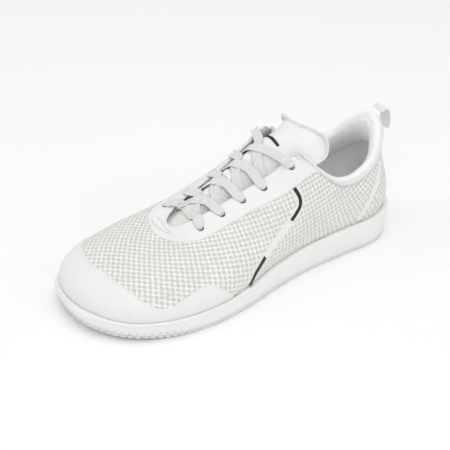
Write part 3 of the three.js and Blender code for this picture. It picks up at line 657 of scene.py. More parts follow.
def footbed():
    board = floor_rings([(-0.4, GAP), (-0.4, 1.5)])
    dress(piece("strobel_sheet", *stack(board), BOARD), "shoe", "board", "strobel_board")
    foam = floor_rings([(-1.2, 1.9), (-0.9, 3.2), (-0.8, 5)])
    dress(piece("footbed_cushion", *stack(foam), SOFT_FOAM), "shoe", "foam", "footbed_foam")
    cover = floor_rings([
        (-0.8, 5.3), (-0.7, 6.2), (-0.8, 7.4), (-1.4, 7.8), (-2.3, 7.4), (-4.5, 6.7), (-8, 6.25), (-13, 6.1),
    ])
    points, faces = stack(smooth_rings(cover, 3, sharp=(1,)))
    uv = [points[f][..., :2] for f in faces]
    dress(piece("footbed_sheet", points, faces, FOOTBED, uv), "shoe", "lining", "footbed_cover")


# ---- Knit shell, linings and stiffeners ----
FLAT_U, FLAT_V = 126, 24


def flattened_knit():
    """The upper's flat pattern: the shell opened at the heel and unrolled with the least stretch, in mm."""
    u = np.linspace(0, RIB_COUNT, FLAT_U + 1)[:, None]
    v = np.linspace(0, 1, FLAT_V + 1)[None]
    points = knit(u, v)
    i, j = index_grid(FLAT_U, FLAT_V)
    a = i * (FLAT_V + 1) + j
    faces = np.stack([a, a + 1, a + FLAT_V + 2, a + FLAT_V + 1], 1)
    obj = piece("flat_pattern", points.reshape(-1, 3), faces, BOARD, np.zeros((len(faces), 4, 2)))
    bpy.context.view_layer.objects.active = obj
    obj.select_set(True)
    bpy.ops.object.mode_set(mode="EDIT")
    bpy.ops.mesh.select_all(action="SELECT")
    bpy.ops.uv.unwrap(method="MINIMUM_STRETCH", margin=0.0, correct_aspect=False, iterations=60)
    bpy.ops.object.mode_set(mode="OBJECT")
    mesh = obj.data
    found = np.zeros(len(mesh.loops) * 2, np.float32)
    mesh.uv_layers[0].data.foreach_get("uv", found)
    corner = np.zeros(len(mesh.loops), np.int32)
    mesh.loops.foreach_get("vertex_index", corner)
    table = np.zeros((len(mesh.vertices), 2))
    table[corner] = found.reshape(-1, 2)
    bpy.data.objects.remove(obj)
    table = table.reshape(FLAT_U + 1, FLAT_V + 1, 2)
    real = np.linalg.norm(np.diff(points, axis=1), axis=-1).sum()
    flat_length = np.linalg.norm(np.diff(table, axis=1), axis=-1).sum()
    table *= real / flat_length
    middle = FLAT_V // 2
    toe, heel = table[FLAT_U // 2, middle], (table[0, middle] + table[-1, middle]) / 2
    angle = math.atan2(*(heel - toe)[::-1])
    turn = np.array([[math.cos(angle), -math.sin(angle)], [math.sin(angle), math.cos(angle)]])
    return (table - toe) @ turn


FLAT_PATTERN = flattened_knit()


def knit_uv(u, v):
    rows = np.broadcast_to(np.asarray(u, float) * FLAT_U / RIB_COUNT, np.broadcast(u, v).shape)
    columns = np.broadcast_to(np.clip(v, 0, 1) * FLAT_V, rows.shape)
    i = np.clip(np.floor(rows).astype(int), 0, FLAT_U - 1)
    j = np.clip(np.floor(columns).astype(int), 0, FLAT_V - 1)
    a, b = (rows - i)[..., None], (columns - j)[..., None]
    low = lerp(FLAT_PATTERN[i, j], FLAT_PATTERN[i + 1, j], a)
    high = lerp(FLAT_PATTERN[i, j + 1], FLAT_PATTERN[i + 1, j + 1], a)
    return lerp(low, high, b)


def with_skirt(u, rows, out, shares):
    """Rows with more of them below, standing in the sole's cup at these shares of the way up."""
    foot = np.repeat(knit(u, 0) + rand_normal(u) * out, len(shares), axis=1)
    foot[..., 2] = lerp(cup_floor(foot[..., 1]) + GAP, rows[:, :1, 2], np.array(shares)[None])
    return np.concatenate([foot, rows], 1)


def shell(u, v, outer, inner):
    """A sheet of the upper between two distances from the knit's face. Its skirt stands in the sole's cup."""
    u = u[:, None]
    outer, inner = (with_skirt(u, layer(u, v[None], out), out, (0, 0.5, 0.85)) for out in (outer, inner))
    uv = knit_uv(u, v[None])
    drop = np.array([4.0, 2.0, 0.5])[None, :, None] * unit(uv[:, :1] - uv[:, 1:2])
    uv = np.concatenate([uv[:, :1] + drop, uv], 1)
    return slab(outer, inner, uv, bool(np.isclose(u[-1, 0] - u[0, 0], RIB_COUNT)))


EYELETS = {
    "lateral": [[7.13, 0.92], [6.46, 0.935], [5.87, 0.94], [5.27, 0.93], [4.26, 0.93]],
    "medial": [[13.35, 0.92], [14.2, 0.935], [14.9, 0.94], [15.6, 0.93], [16.7, 0.93]],
}


def punches(radius=2.7):
    """Round punches through the upper at each lace hole, as one mesh to take away."""
    sides, deep = 28, 5
    angle = np.arange(sides)[:, None] * 2 * np.pi / sides
    points, quads, caps = [], [], []
    for u, v in EYELETS["lateral"] + EYELETS["medial"]:
        centre, normal = knit(u, v), knit_normal(u, v)
        a = unit(np.cross(normal, [0, 1, 0.1]))
        b = np.cross(normal, a)
        ring = (np.cos(angle) * a + np.sin(angle) * b) * radius
        start = len(points) * 2 * sides
        points.append(np.concatenate([centre + ring - deep * normal, centre + ring + deep * normal]))
        quads.append(tube_faces(2, sides)[0] + start)
        caps.append(fan_caps(sides, sides) + start)
    return cutter("punch_tool", np.concatenate(points), [np.concatenate(quads), np.concatenate(caps)])


def knit_shell():
    u = np.linspace(0, RIB_COUNT, 631)
    v = np.concatenate([np.linspace(0, 0.97, 78), [0.985, 0.995, 1]])
    points, faces, uv = shell(u, v, 0, -1.2)
    # The quads of the outer face come first. The skirt adds three rows to it.
    face_side = (len(u) - 1) * (len(v) + 2)
    obj = piece("knit_shell", points, faces, [KNIT, KNIT_BACK], uv, np.arange(len(faces)) >= face_side)
    cut(obj, PUNCH)
    return dress(obj, "shoe", "knit", "mesh_upper")


def linings():
    u, v = np.linspace(4, 17, 235), np.linspace(0, 0.78, 34)
    points, faces, uv = shell(u, v, -2.6, -3.5)
    dress(piece("forefoot_lining", points, faces, LINING, uv), "shoe", "lining", "vamp_lining")
    stiffener("toe_stiffener", 8, 14, flat(0.08), flat(0.4), "toe_puff")
    heel_top = border([[-2, 0.4], [-1, 0.56], [0, 0.62], [1, 0.56], [2, 0.4]])
    stiffener("heel_stiffener", -2, 2, flat(0.08), heel_top, "heel_counter")
    for name, start, end, node in (
        ("eyestay_felt_lateral", 4, 8, "eyestay_backing_lateral"),
        ("eyestay_felt_medial", 13, 17, "eyestay_backing_medial"),
    ):
        stiffener(name, start, end, flat(0.86), flat(0.985), node, FELT, True)


def patch_grid(u_from, u_to, low, high, steps):
    u = lerp(u_from, u_to, spaced(steps[0]))[:, None]
    v = lerp(low(u), high(u), spaced(steps[1])[None])
    return np.broadcast_to(u, v.shape), v


def stiffener(name, u_from, u_to, low, high, node, material=BOARD, punched=False):
    u, v = patch_grid(u_from, u_to, low, high, (91, 25))
    obj = knit_sheet(name, u, v, -1.65, -2.1, material)
    if punched:
        cut(obj, PUNCH)
    dress(obj, "shoe", "board", node)


def knit_sheet(name, u, v, outer, inner, material):
    """A sheet over a grid of [u, v], between two distances out from the knit's face."""
    flat_uv = knit_uv(np.mod(u, RIB_COUNT), v)
    points, faces, uv = slab(layer(u, v, outer), layer(u, v, inner), flat_uv)
    return piece(name, points, faces, material, uv)


# ---- Films ----
def film(
    name, u_from, u_to, low, high, thick, steps, material, base=0.05, radius=1.3, open_low=False, rim=0.0
):
    """A bonded film between two borders, its free edges rounded down to the cloth.

    rim is the height of a soft bead just inside those edges. open_low leaves the low border square.
    """
    u, v = patch_grid(u_from, u_to, low, high, steps)
    reach = rib_length(u[:, 0])[:, None]
    across = (v - v[:, :1]) * reach
    above = (v[:, -1:] - v) * reach
    run = run_along(knit(u[:, 0], v[:, 0]))[:, None]
    ends = np.minimum(run, run[-1] - run)
    distance = np.minimum(above, ends)
    if not open_low:
        distance = np.minimum(distance, across)
    out = base + 0.04 + (thick - 0.04) * round_edge(distance, radius)
    out = out + rim * np.exp(-(((distance - 1.5) / 0.75) ** 2))
    return knit_sheet(name, u, v, out, base, material)


TOE_CAP_TOP = border([
    [6.45, 0.04], [6.7, 0.2], [6.95, 0.34], [7.2, 0.41], [7.45, 0.4], [7.65, 0.32], [7.95, 0.23],
    [8.25, 0.2], [8.65, 0.29], [8.95, 0.36], [9.3, 0.42], [10.1, 0.48], [10.8, 0.475], [11.6, 0.46],
    [12.4, 0.42], [13.1, 0.33], [13.8, 0.2], [14.4, 0.04],
])
EYESTAY_LOW = border([
    [3.45, 0.985], [3.6, 0.94], [3.8, 0.84], [4.1, 0.77], [4.6, 0.76], [5, 0.79], [5.7, 0.83],
    [6.6, 0.845], [7.2, 0.84], [8.1, 0.865], [9, 0.885], [10, 0.9], [11, 0.905], [11.7, 0.9],
    [12.7, 0.865], [13.3, 0.84], [14, 0.82], [15, 0.82], [16, 0.79], [16.6, 0.76], [17, 0.77],
    [17.3, 0.84], [17.5, 0.94], [17.65, 0.985],
])
CRESCENT_LOW = border([[8.5, 0.922], [9.6, 0.932], [10.7, 0.935], [11.6, 0.92], [12.4, 0.9]], 0.5)
CRESCENT_HIGH = border([[8.5, 0.94], [9.2, 0.957], [10.5, 0.978], [11.6, 0.978], [12.4, 0.93]], 0.5)


def films():
    cap = film(
        "toe_cap_film", 6.5, 14.3, flat(0.0), TOE_CAP_TOP, 0.75, (341, 73), FILM, open_low=True, rim=0.45
    )
    dress(cap, "shoe", "film", "toe_cap")
    stay = film("eyestay_film", 3.5, 17.6, EYESTAY_LOW, flat(1.0), 0.85, (521, 49), FILM, rim=0.3)
    cut(stay, PUNCH)
    dress(stay, "shoe", "film", "eyestay")
    crescent = film(
        "throat_crescent", 8.5, 12.4, CRESCENT_LOW, CRESCENT_HIGH, 0.45, (121, 17), CRESCENT,
        base=0.98, radius=0.6,
    )
    dress(crescent, "shoe", "film", "throat_patch")
    tape = film("heel_seam_cover", -0.16, 0.16, flat(0.04), flat(0.9), 0.6, (17, 61), BINDING)
    dress(tape, "shoe", "webbing", "heel_seam_tape")


def strip(name, line, width, base, thick, material, steps=120, radius=0.5, end=None):
    """A film strip along a smooth line of [u, v]. Its ends are half circles, or rounded over end if given."""
    at = np.linspace(0, len(line) - 1, steps)
    centre = smooth_rows(line, at)
    across_at = spaced(13, 1.0) * 2 - 1
    middle = layer(centre[:, 0], centre[:, 1], base)
    along = unit(np.gradient(middle, axis=0))
    normal = knit_normal(centre[:, 0], centre[:, 1])
    across = unit(np.cross(along, normal))
    run = run_along(middle)
    half = width / 2 * np.maximum(round_edge(np.minimum(run, run[-1] - run), end or width / 2), 0.12)
    # Each point drops to the knit's own curve, so that a wide strip lies on it.
    flat_points = middle[:, None] + across[:, None] * (across_at[None] * half[:, None])[..., None]
    u, v = nearest_uv(flat_points, centre)
    inset = (1 - np.abs(across_at))[None] * half[:, None]
    out = base + 0.04 + (thick - 0.04) * round_edge(inset, radius)
    return knit_sheet(name, u, v, out, base, material)


def nearest_uv(points, start):
    """The [u, v] on the knit nearest to points near its face, by a few Newton steps."""
    u = np.broadcast_to(start[:, None, 0], points.shape[:2]).copy()
    v = np.broadcast_to(start[:, None, 1], points.shape[:2]).copy()
    for _ in range(6):
        here = knit(u, v)
        du, dv = (knit(u + 0.01, v) - here) / 0.01, (knit(u, v + 0.01) - here) / 0.01
        gap = points - here
        a, b, c = (du * du).sum(-1), (du * dv).sum(-1), (dv * dv).sum(-1)
        p, q = (gap * du).sum(-1), (gap * dv).sum(-1)
        det = a * c - b * b
        u += np.clip((c * p - b * q) / det, -0.3, 0.3)
        v = np.clip(v + np.clip((a * q - b * p) / det, -0.1, 0.1), 0.0, 0.999)
    return u, v


STRIPE_UPPER = [[4.31, 0.76], [4.19, 0.66], [4.2, 0.58], [4.33, 0.53], [4.51, 0.49]]
STRIPE_LOWER = [[5.44, 0.31], [5.62, 0.25], [5.8, 0.18], [5.97, 0.03]]
HEEL_BAND = [[2.58, 0.06], [2.4, 0.3], [2.11, 0.55], [1.75, 0.72], [1.5, 0.84]]


def stripes():
    whole = STRIPE_UPPER + [[4.98, 0.40]] + STRIPE_LOWER
    backing = strip("side_stripe_backing", whole, 7.4, 0.05, 0.3, FILM, 200, radius=2.4)
    dress(backing, "shoe", "film")
    upper = strip("side_dash_upper", STRIPE_UPPER, 3.1, 0.33, 0.35, BLACK, end=0.5)
    dress(upper, "shoe", "black_film", "side_stripe_upper")
    lower = strip("side_dash_lower", STRIPE_LOWER, 4.0, 0.33, 0.35, BLACK, end=0.5)
    dress(lower, "shoe", "black_film", "side_stripe_lower")
    for side, sign in (("lateral", 1), ("medial", -1)):
        line = [[sign * u, v] for u, v in HEEL_BAND]
        band_piece = strip("heel_film_" + side, line, 5.0, 0.05, 0.75, FILM, 140, radius=1.2)
        dress(band_piece, "shoe", "film", "heel_band_" + side)


# ---- Collar ----
# Each step is [height above the collar edge, distance in from the knit's face].
COLLAR_SKIN = [[-24, 3.6], [-19, 6.9], [-12, 9.2], [-5, 9.7], [0.9, 8.5], [3.8, 5.6], [3.8, 2.7], [2, 1.5]]
COLLAR_BACK = [[-24, 2.9], [-19, 6.1], [-12, 8.4], [-5, 8.9], [0.3, 7.8], [2.9, 5.3], [3, 3], [1.5, 2.2]]
COLLAR_FOAM = [[-23.5, 2.5], [-19, 5.6], [-12, 7.9], [-5, 8.4], [-0.2, 7.2], [1.9, 5], [1.6, 3.5]]
# The tape's section at the collar, then past the collar's ends, where it folds over the eyestay's edge.
TAPE_FACE = [[-1.9, -0.3], [-1.5, -0.95], [-0.8, -1.2], [0.2, -1.15], [1.2, -0.6], [1.8, 0.4], [2.15, 1.9]]
TAPE_UNDER = [[-1.9, -0.15], [-1.5, -0.15], [-0.8, -0.15], [0.1, -0.15], [0.55, 0.1], [0.8, 0.7], [0.9, 1.8]]
THROAT_TAPE_FACE = [
    [-1.9, -0.9], [-1.5, -1.25], [-0.8, -1.5], [0.2, -1.4], [0.8, -0.6], [0.9, 0.5], [0.4, 1.5],
]
THROAT_TAPE_UNDER = [
    [-1.9, -0.15], [-1.5, -0.15], [-0.8, -0.15], [0.1, -0.15], [0.25, 0.1], [0.3, 0.6], [0.1, 1.25],
]
COLLAR_FROM, COLLAR_TO = 17.2 - RIB_COUNT, 3.8
collar_u = np.linspace(COLLAR_FROM, COLLAR_TO, 241)[:, None]
TAPE_REACH = 4.05
RIB_STEP_MM = 32  # about how far one rib is from the next along the collar
NO_LIMIT = 99


def collar_point(u, height, inward, thin):
    """A point by the collar edge. Past the collar's ends it is no more than thin in from the knit."""
    u, height, inward = np.broadcast_arrays(u, height, inward)
    v = np.minimum(1, 1 + height / rib_length(u))
    points, normal = knit(u, v), knit_normal(u, v)
    normal[..., 2] *= np.clip(-height / 5, 0, 1)
    full = 1 - smoothstep(np.abs(u), 2.8, 3.7)
    points = points - unit(normal) * lerp(np.minimum(inward, thin), inward, full)[..., None]
    points[..., 2] += np.maximum(0, height)
    return points


def along_path(path, count):
    """Heights and distances in at count steps along a section, each as one row."""
    steps = smooth_rows(path, np.linspace(0, len(path) - 1, count))
    return steps[None, :, 0], steps[None, :, 1]


def rear_lining():
    """The lining from the cup's floor up the wall and over the padded roll to the knit's edge."""
    low = np.linspace(0.0, 0.44, 16)[None]

    def face(out, path, thin, puff=0.0):
        height, inward = along_path(path, 64)
        puckers = np.sin(33 * collar_u + 2 * np.sin(7 * collar_u))
        puckers = puckers + 0.9 * np.sin(11.3 * collar_u + 0.25 * height)
        fading = np.exp(-(((height + 2) / 8) ** 2)) * smoothstep(inward, 2, 5)
        roll = collar_point(collar_u, height, inward + puff * puckers * fading, thin)
        wall = with_skirt(collar_u, layer(collar_u, low, out), out, (0.0, 0.5))
        return np.concatenate([wall, roll], 1)

    skin, back = face(-3.5, COLLAR_SKIN, 3.7, puff=0.2), face(-2.6, COLLAR_BACK, 3.05)
    run = run_along(skin[len(skin) // 2])
    lining = sheet("rear_lining", skin, back, collar_u * RIB_STEP_MM, run[None], LINING)
    dress(lining, "shoe", "lining", "quarter_lining")


def collar_padding():
    height, inward = along_path(COLLAR_FOAM, 40)
    inner = collar_point(collar_u, height, inward, 2.6)
    outer = collar_point(collar_u, np.minimum(height, 0.5), 2.25, 2.25)
    foam = sheet("collar_padding", inner, outer, collar_u * RIB_STEP_MM, height, SOFT_FOAM)
    dress(foam, "shoe", "foam", "collar_foam")


def collar_tape():
    u = np.linspace(-TAPE_REACH, TAPE_REACH, 291)[:, None]
    past = smoothstep(np.abs(u), 3.4, 3.75)

    def side(collar_path, throat_path):
        pairs = zip(along_path(collar_path, 25), along_path(throat_path, 25))
        height, inward = (lerp(at_collar, at_throat, past) for at_collar, at_throat in pairs)
        return collar_point(u, height, inward, NO_LIMIT)

    face, under = side(TAPE_FACE, THROAT_TAPE_FACE), side(TAPE_UNDER, THROAT_TAPE_UNDER)
    run = np.linspace(0, 6.5, face.shape[1])
    tape = sheet("collar_edge_tape", face, under, run[None], u * RIB_STEP_MM, BINDING)
    dress(tape, "shoe", "webbing", "collar_binding")


# ---- Tongue ----
def under_knit(u, v):
    return layer(u, v, -5.7).tolist()


def tucked_row(medial, middle, lateral):
    """A row of the tongue with its two sides under the throat's edges, at these places along the ribs."""
    low, top = 0.84, 1
    medial_pair = [under_knit(medial, low), under_knit(medial, top)]
    return [*medial_pair, middle, under_knit(lateral, top), under_knit(lateral, low)]


# From the toe end up. Each row goes from the medial edge to the lateral one.
TONGUE_ROWS = [
    [under_knit(u, v) for u, v in ((11.9, 0.83), (11.3, 0.84), (10.5, 0.84), (9.8, 0.84), (9.2, 0.83))],
    [
        under_knit(12.8, 0.84), under_knit(12.1, 0.95), [-2, -54, 54.5],
        under_knit(8.8, 0.95), under_knit(8.1, 0.84),
    ],
    tucked_row(13.4, [-2, -41, 64], 7.2),
    tucked_row(14.3, [-3, -24, 74.5], 6.5),
    tucked_row(14.95, [-4, -5, 84], 5.9),
    tucked_row(15.65, [-4, 13, 93], 5.25),
    tucked_row(16.35, [-3, 28, 100], 4.6),
    [[-24, 45, 87], [-18.5, 41, 95.5], [-3, 40, 103.5], [13, 41, 93], [20, 45, 83]],
    [[-25, 56, 85], [-18, 50, 99.5], [-2, 50, 106], [15, 50, 99], [23, 56, 83.5]],
    [[-28, 67, 92], [-17, 56.5, 105], [-2, 57, 107.5], [15, 60, 104.5], [26, 68, 90.5]],
    [[-27, 60, 110], [-14, 59.5, 109], [-2, 61.5, 108.3], [14, 66, 108], [26, 69, 107.5]],
]
TONGUE_END = len(TONGUE_ROWS) - 1
CORNER_ROWS = 0.55  # how far the two top corners are rounded off


def tongue(row, across):
    """A point of the tongue's outer face. across runs from -1 at the medial edge to 1 at the lateral one."""
    row, across = np.broadcast_arrays(np.asarray(row, float), np.asarray(across, float))
    row = row - CORNER_ROWS * smoothstep(row, 8.4, TONGUE_END) * np.abs(across) ** 7
    lines = smooth_rows(TONGUE_ROWS, row)
    at = np.clip(2 + 2 * across, 0, 4 - 1e-9)
    base = np.floor(at).astype(int)
    f = (at - base)[..., None]

    def pick(step):
        k = np.clip(base + step, 0, 4)[..., None, None]
        return np.take_along_axis(lines, np.broadcast_to(k, k.shape[:-1] + (3,)), -2)[..., 0, :]

    return catmull_rom(pick, f)


def tongue_normal(row, across):
    step = 0.02
    along = tongue(np.minimum(TONGUE_END, row + step), across) - tongue(np.maximum(0, row - step), across)
    side = tongue(row, np.minimum(1, across + step)) - tongue(row, np.maximum(-1, across - step))
    return unit(np.cross(side, along))


def tongue_layer(row, across, out):
    row, across, out = np.broadcast_arrays(*(np.asarray(x, float) for x in (row, across, out)))
    return tongue(row, across) + tongue_normal(row, across) * out[..., None]


PANEL_ROW = 3.75  # where the knit gives way to the smooth cloth


def tongue_body():
    """Foam between two cloths: full in the middle, thin at its bound edges. Knit low down, smooth above."""
    row = np.linspace(0, TONGUE_END, 221)[:, None]
    across = np.sin(np.linspace(-0.5, 0.5, 61) * np.pi)[None]
    edge = np.abs(across) ** 6
    thick = 4 * (1 - 0.6 * edge)
    top = np.clip((TONGUE_END - row) / 0.35, 0.0, 1)
    closing = 0.35 + 0.65 * round_edge(top, 1.0)
    soft = 0.4 * smoothstep(row, 7.1, 7.8) * smoothstep(TONGUE_END - row, 0.2, 0.9) * (1 - across**4)
    face = tongue_layer(row, across, soft * np.sin(2.3 * row + 0.4) * np.cos(3.1 * across + 0.7 * row))
    back = tongue_layer(row, across, -thick * closing)
    quarters = tongue(row, np.array([[-1, -0.5, 0, 0.5, 1.0]]))
    span = np.linalg.norm(np.diff(quarters, axis=1), axis=-1).sum(1)
    along = run_along(tongue(row[:, 0], 0 * row[:, 0]))
    uv = np.stack(np.broadcast_arrays(across / 2 * span[:, None], along[:, None]), -1)
    points, faces, corner_uv = slab(face, back, uv)
    count = face.shape[1]
    face_row = (faces % (face.shape[0] * count)) // count
    middle = row[:, 0][face_row].mean(1)
    index = (middle > PANEL_ROW).astype(int)
    obj = piece("tongue_body", points, faces, [TONGUE_KNIT, TONGUE_SKIN], corner_uv, index)
    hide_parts("tongue_base", "tongue_flap")
    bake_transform(obj)


def tongue_patch(name, rows, sides, thick, base, material):
    """A film patch on the tongue, its edges rounded down to it."""
    steps, radius = (31, 41), 0.6
    row = lerp(rows[0], rows[1], spaced(steps[0]))[:, None]
    across = lerp(sides[0], sides[1], spaced(steps[1]))[None]
    points = tongue(row, across)
    high = np.linalg.norm(points[-1, steps[1] // 2] - points[0, steps[1] // 2])
    wide = np.linalg.norm(points[steps[0] // 2, -1] - points[steps[0] // 2, 0])
    a = (row - rows[0]) / (rows[1] - rows[0])
    b = (across - sides[0]) / (sides[1] - sides[0])
    distance = np.minimum(np.minimum(a, 1 - a) * high, np.minimum(b, 1 - b) * wide)
    out = base + 0.04 + (thick - 0.04) * round_edge(distance, radius)
    face, under = tongue_layer(row, across, out), tongue_layer(row, across, base)
    return sheet(name, face, under, b * wide, a * high, material)


def tongue_details():
    label = tongue_patch("tongue_label_patch", (6.56, 6.8), (-0.62, 0.22), 0.6, 0.1, BLACK)
    dress(label, "shoe", "black_film", "tongue_label")
    keeper = tongue_patch("lace_keeper_strap", (3.9, 4.15), (-0.24, 0.24), 0.75, 0.15, FILM)
    dress(keeper, "shoe", "film", "lace_keeper")
    dress(tongue_tape(), "tongue_top", "webbing", "tongue_binding")


# The tape's line as [row, across], from the lateral side's foot to the middle of the top.
TAPE_PATH = [
    [8.75, 1], [8.9, 1], [9.1, 1], [9.6, 0.99], [9.88, 0.955], [9.98, 0.86], [10, 0.7], [10, 0.35], [10, 0],
]
# Its section as [distance in from the edge, distance out from the face].
TAPE_SECTION = [
    [2.7, 0.3], [2.5, 0.55], [1.3, 0.7], [0.15, 0.6], [-0.25, 0.1], [-0.4, -0.7],
    [-0.25, -1.5], [0.15, -1.9], [1.3, -2.0], [2.5, -2.0], [2.7, -1.8], [2.5, -1.65],
    [1.1, -1.6], [0.4, -1.4], [0.1, -0.7], [0.4, -0.05], [1.1, 0.15], [2.5, 0.12],
]


def tongue_tape():
    """A woven tape folded over the flap's side and top edges."""
    half = smooth_rows(TAPE_PATH, np.linspace(0, len(TAPE_PATH) - 1, 140))
    path = np.concatenate([half, half[-2::-1] * [1, -1]])
    edge = tongue(path[:, 0], path[:, 1])
    normal = tongue_normal(path[:, 0] - 0.03, path[:, 1] * 0.98)
    along = unit(np.gradient(edge, axis=0))
    inward = unit(np.cross(along, normal))
    middle = tongue(path[:, 0] - 0.3, path[:, 1] * 0.9)
    inward *= np.sign(((middle - edge) * inward).sum(1))[:, None]
    corners = len(TAPE_SECTION)
    section = smooth_rows(TAPE_SECTION, np.linspace(0, corners, 3 * corners, endpoint=False), True)
    rings = edge[:, None] + inward[:, None] * section[None, :, :1] + normal[:, None] * section[None, :, 1:]
    return tube("tongue_edge_tape", rings, BINDING)


def tube(name, rings, material):
    """A closed body through rings of equal count, one after the other, with flat ends."""
    count, sides = rings.shape[:2]
    girth = run_along(np.concatenate([rings[0], rings[0][:1]]))
    quads, i, j = tube_faces(count, sides)
    uv = tube_uv(i, j, j + 1, girth, run_along(rings[:, 0]))
    k = np.arange(sides // 2 - 1)
    cap = np.stack([k, sides - 1 - k, sides - 2 - k, k + 1], 1)
    caps = np.concatenate([cap, cap[:, ::-1] + (count - 1) * sides])
    return piece(name, rings.reshape(-1, 3), [quads, caps], material, [uv, np.zeros((len(caps), 4, 2))])


# ---- Laces ----
# Width and thickness of the lace: lying flat, near a hole, and gathered in it.
FLAT, NARROW, BUNCHED = (7.4, 1.0), (5.6, 1.3), (4.0, 1.6)
UNDER_KNIT = -3.5
EDGE_LIFT, LOWER_LIFT, UPPER_LIFT = 1.9, 1.3, 2.5
CROSSING_SPAN = 0.72
TONGUE_AT_EYELET = [2, 3, 4, 5, 6.2]
# Each stop of a tucked tail is [ribs past the top hole, height on the rib, distance in].
TAIL = [[0.2, 0.86, 4.9], [0.6, 0.74, 6], [1.3, 0.66, 6], [2.1, 0.6, 6], [2.7, 0.52, 6], [3, 0.42, 6]]


def stop(centre, across, size):
    """One stop of the lace: centre, direction of its width, width and thickness."""
    return np.concatenate([centre, across, size])


def throat_direction(side, u):
    sign = -1 if side == "lateral" else 1
    return unit((knit(u + 0.1, 0.95) - knit(u - 0.1, 0.95)) * sign)


def into_eyelet(side, row):
    """From the throat's edge down into a hole, leaning towards the hole below it on the same side."""
    u, v = EYELETS[side][row]
    turn = 0.16 * (EYELETS[side][row - 1][0] - u) if row else 0.0
    across = throat_direction(side, u)
    steps = [
        (1.0, 1.0, 2.3, FLAT),
        (0.45, v + 0.034, 1.85, FLAT),
        (0.1, v + 0.009, 1.75, NARROW),
        (0, v, -0.4, BUNCHED),
    ]
    return [stop(layer(u + turn * share, height, out), across, size) for share, height, out, size in steps]


def out_of_eyelet(side, row):
    u, v = EYELETS[side][row]
    across = throat_direction(side, u)
    steps = [(v + 0.004, -2.6, BUNCHED), (v + 0.025, UNDER_KNIT, FLAT), (0.985, UNDER_KNIT, FLAT)]
    return [stop(layer(u, height, out), across, size) for height, out, size in steps]


def over_tongue(row_from, row_to, side, lift):
    """A run across the tongue, from this side's throat edge to the other's. lift is its height midway."""
    sign = 1 if side == "lateral" else -1
    found = []
    for share in (0.22, 0.5, 0.78):
        edge = CROSSING_SPAN * (0.5 - share)
        out = EDGE_LIFT + (lift - EDGE_LIFT) * (1 - abs(edge) / (CROSSING_SPAN / 2))
        row = lerp(row_from, row_to, share)
        uphill = unit(tongue(row + 0.2, sign * edge) - tongue(row - 0.2, sign * edge))
        found.append(stop(tongue_layer(row, sign * edge, out), uphill, FLAT))
    return found


def lace_tail(side):
    u, v = EYELETS[side][4]
    sign = 1 if side == "lateral" else -1
    down, across = unit(knit(u, 0.5) - knit(u, 0.9)), throat_direction(side, u)
    first = [
        stop(layer(u, v - 0.004, -2.4), across, BUNCHED),
        stop(layer(u + sign * 0.05, v - 0.025, UNDER_KNIT - 0.6), across, FLAT),
    ]
    return first + [stop(layer(u + sign * du, at, -depth), down, FLAT) for du, at, depth in TAIL]


def lace_half(side):
    stops = []
    for row in range(4):
        other = "medial" if side == "lateral" else "lateral"
        lift = LOWER_LIFT if side == "lateral" else UPPER_LIFT
        stops += out_of_eyelet(side, row)
        stops += over_tongue(TONGUE_AT_EYELET[row], TONGUE_AT_EYELET[row + 1], side, lift)
        stops += into_eyelet(other, row + 1)
        side = other
    return stops + lace_tail(side)


def lace_route():
    uphill = unit(tongue(2.2, 0.0) - tongue(1.8, 0.0))
    bar = [stop(tongue_layer(2, edge, EDGE_LIFT), uphill, FLAT) for edge in (-0.3, 0, 0.3)]
    to_medial = into_eyelet("medial", 0) + lace_half("medial")
    return to_medial[::-1] + bar + into_eyelet("lateral", 0) + lace_half("lateral")


def band(name, stops, per_stop, material, sides=48, ribs=5, rib_depth=0.16):
    """A woven band swept along its stops, with fine ribs along its length and thin rolled edges."""
    rows = smooth_rows(stops, np.linspace(0, len(stops) - 1, (len(stops) - 1) * per_stop + 1))
    centre, width, thick = rows[:, :3], rows[:, 6:7], rows[:, 7:8]
    along = unit(np.gradient(centre, axis=0))
    across = unit(rows[:, 3:6] - along * (rows[:, 3:6] * along).sum(1, keepdims=True))
    face = np.cross(along, across)
    angle = 2 * np.pi * (np.arange(sides) + 0.5) / sides
    x = np.sign(np.cos(angle)) * np.abs(np.cos(angle)) ** 0.6
    y = np.sign(np.sin(angle)) * np.abs(np.sin(angle)) ** 0.7
    bead = rib_depth * (np.cos(x * np.pi * ribs) - 1) * np.sign(y) * (np.abs(x) < 0.92)
    bead = bead * np.clip(width / stops[0][6], 0, 1)
    side_points = across[:, None] * (x[None] * width / 2)[..., None]
    side_points = side_points + face[:, None] * (y[None] * thick / 2 + bead)[..., None]
    points = centre[:, None] + side_points
    run = run_along(centre)
    quads, i, j = tube_faces(len(run), sides)
    uv = tube_uv(i, j, (j + 1) % sides, x * float(stops[0][6]) / 2, run)
    caps = fan_caps(sides, (len(run) - 1) * sides)
    cap_uv = np.zeros((len(caps), 3, 2))
    return piece(name, points.reshape(-1, 3), [quads, caps], material, [uv, cap_uv])


# Each step is [distance past the lace's end, width, thickness].
TIP_STEPS = [
    [0.3, 3.0, 1.9], [0.6, 3.3, 2.2], [4, 3.3, 2.3], [12, 3.0, 2.1], [15.4, 2.6, 1.8], [16, 1.8, 1.2],
]


def laces():
    route = lace_route()
    dress(band("shoe_lace", route, 8, LACE), "shoe", "lace", "lace")
    for side, tip, before in (("lateral", route[-1], route[-2]), ("medial", route[0], route[1])):
        along = unit(tip[:3] - before[:3])
        stops = [stop(tip[:3] + along * reach, tip[3:6], size) for reach, *size in TIP_STEPS]
        obj = band("lace_tip_" + side, stops, 6, TIP, sides=24, ribs=0, rib_depth=0)
        dress(obj, "shoe", "aglet", "aglet_" + side)


# ---- Stitches and the pull loop ----
THREAD_SIDES = 8
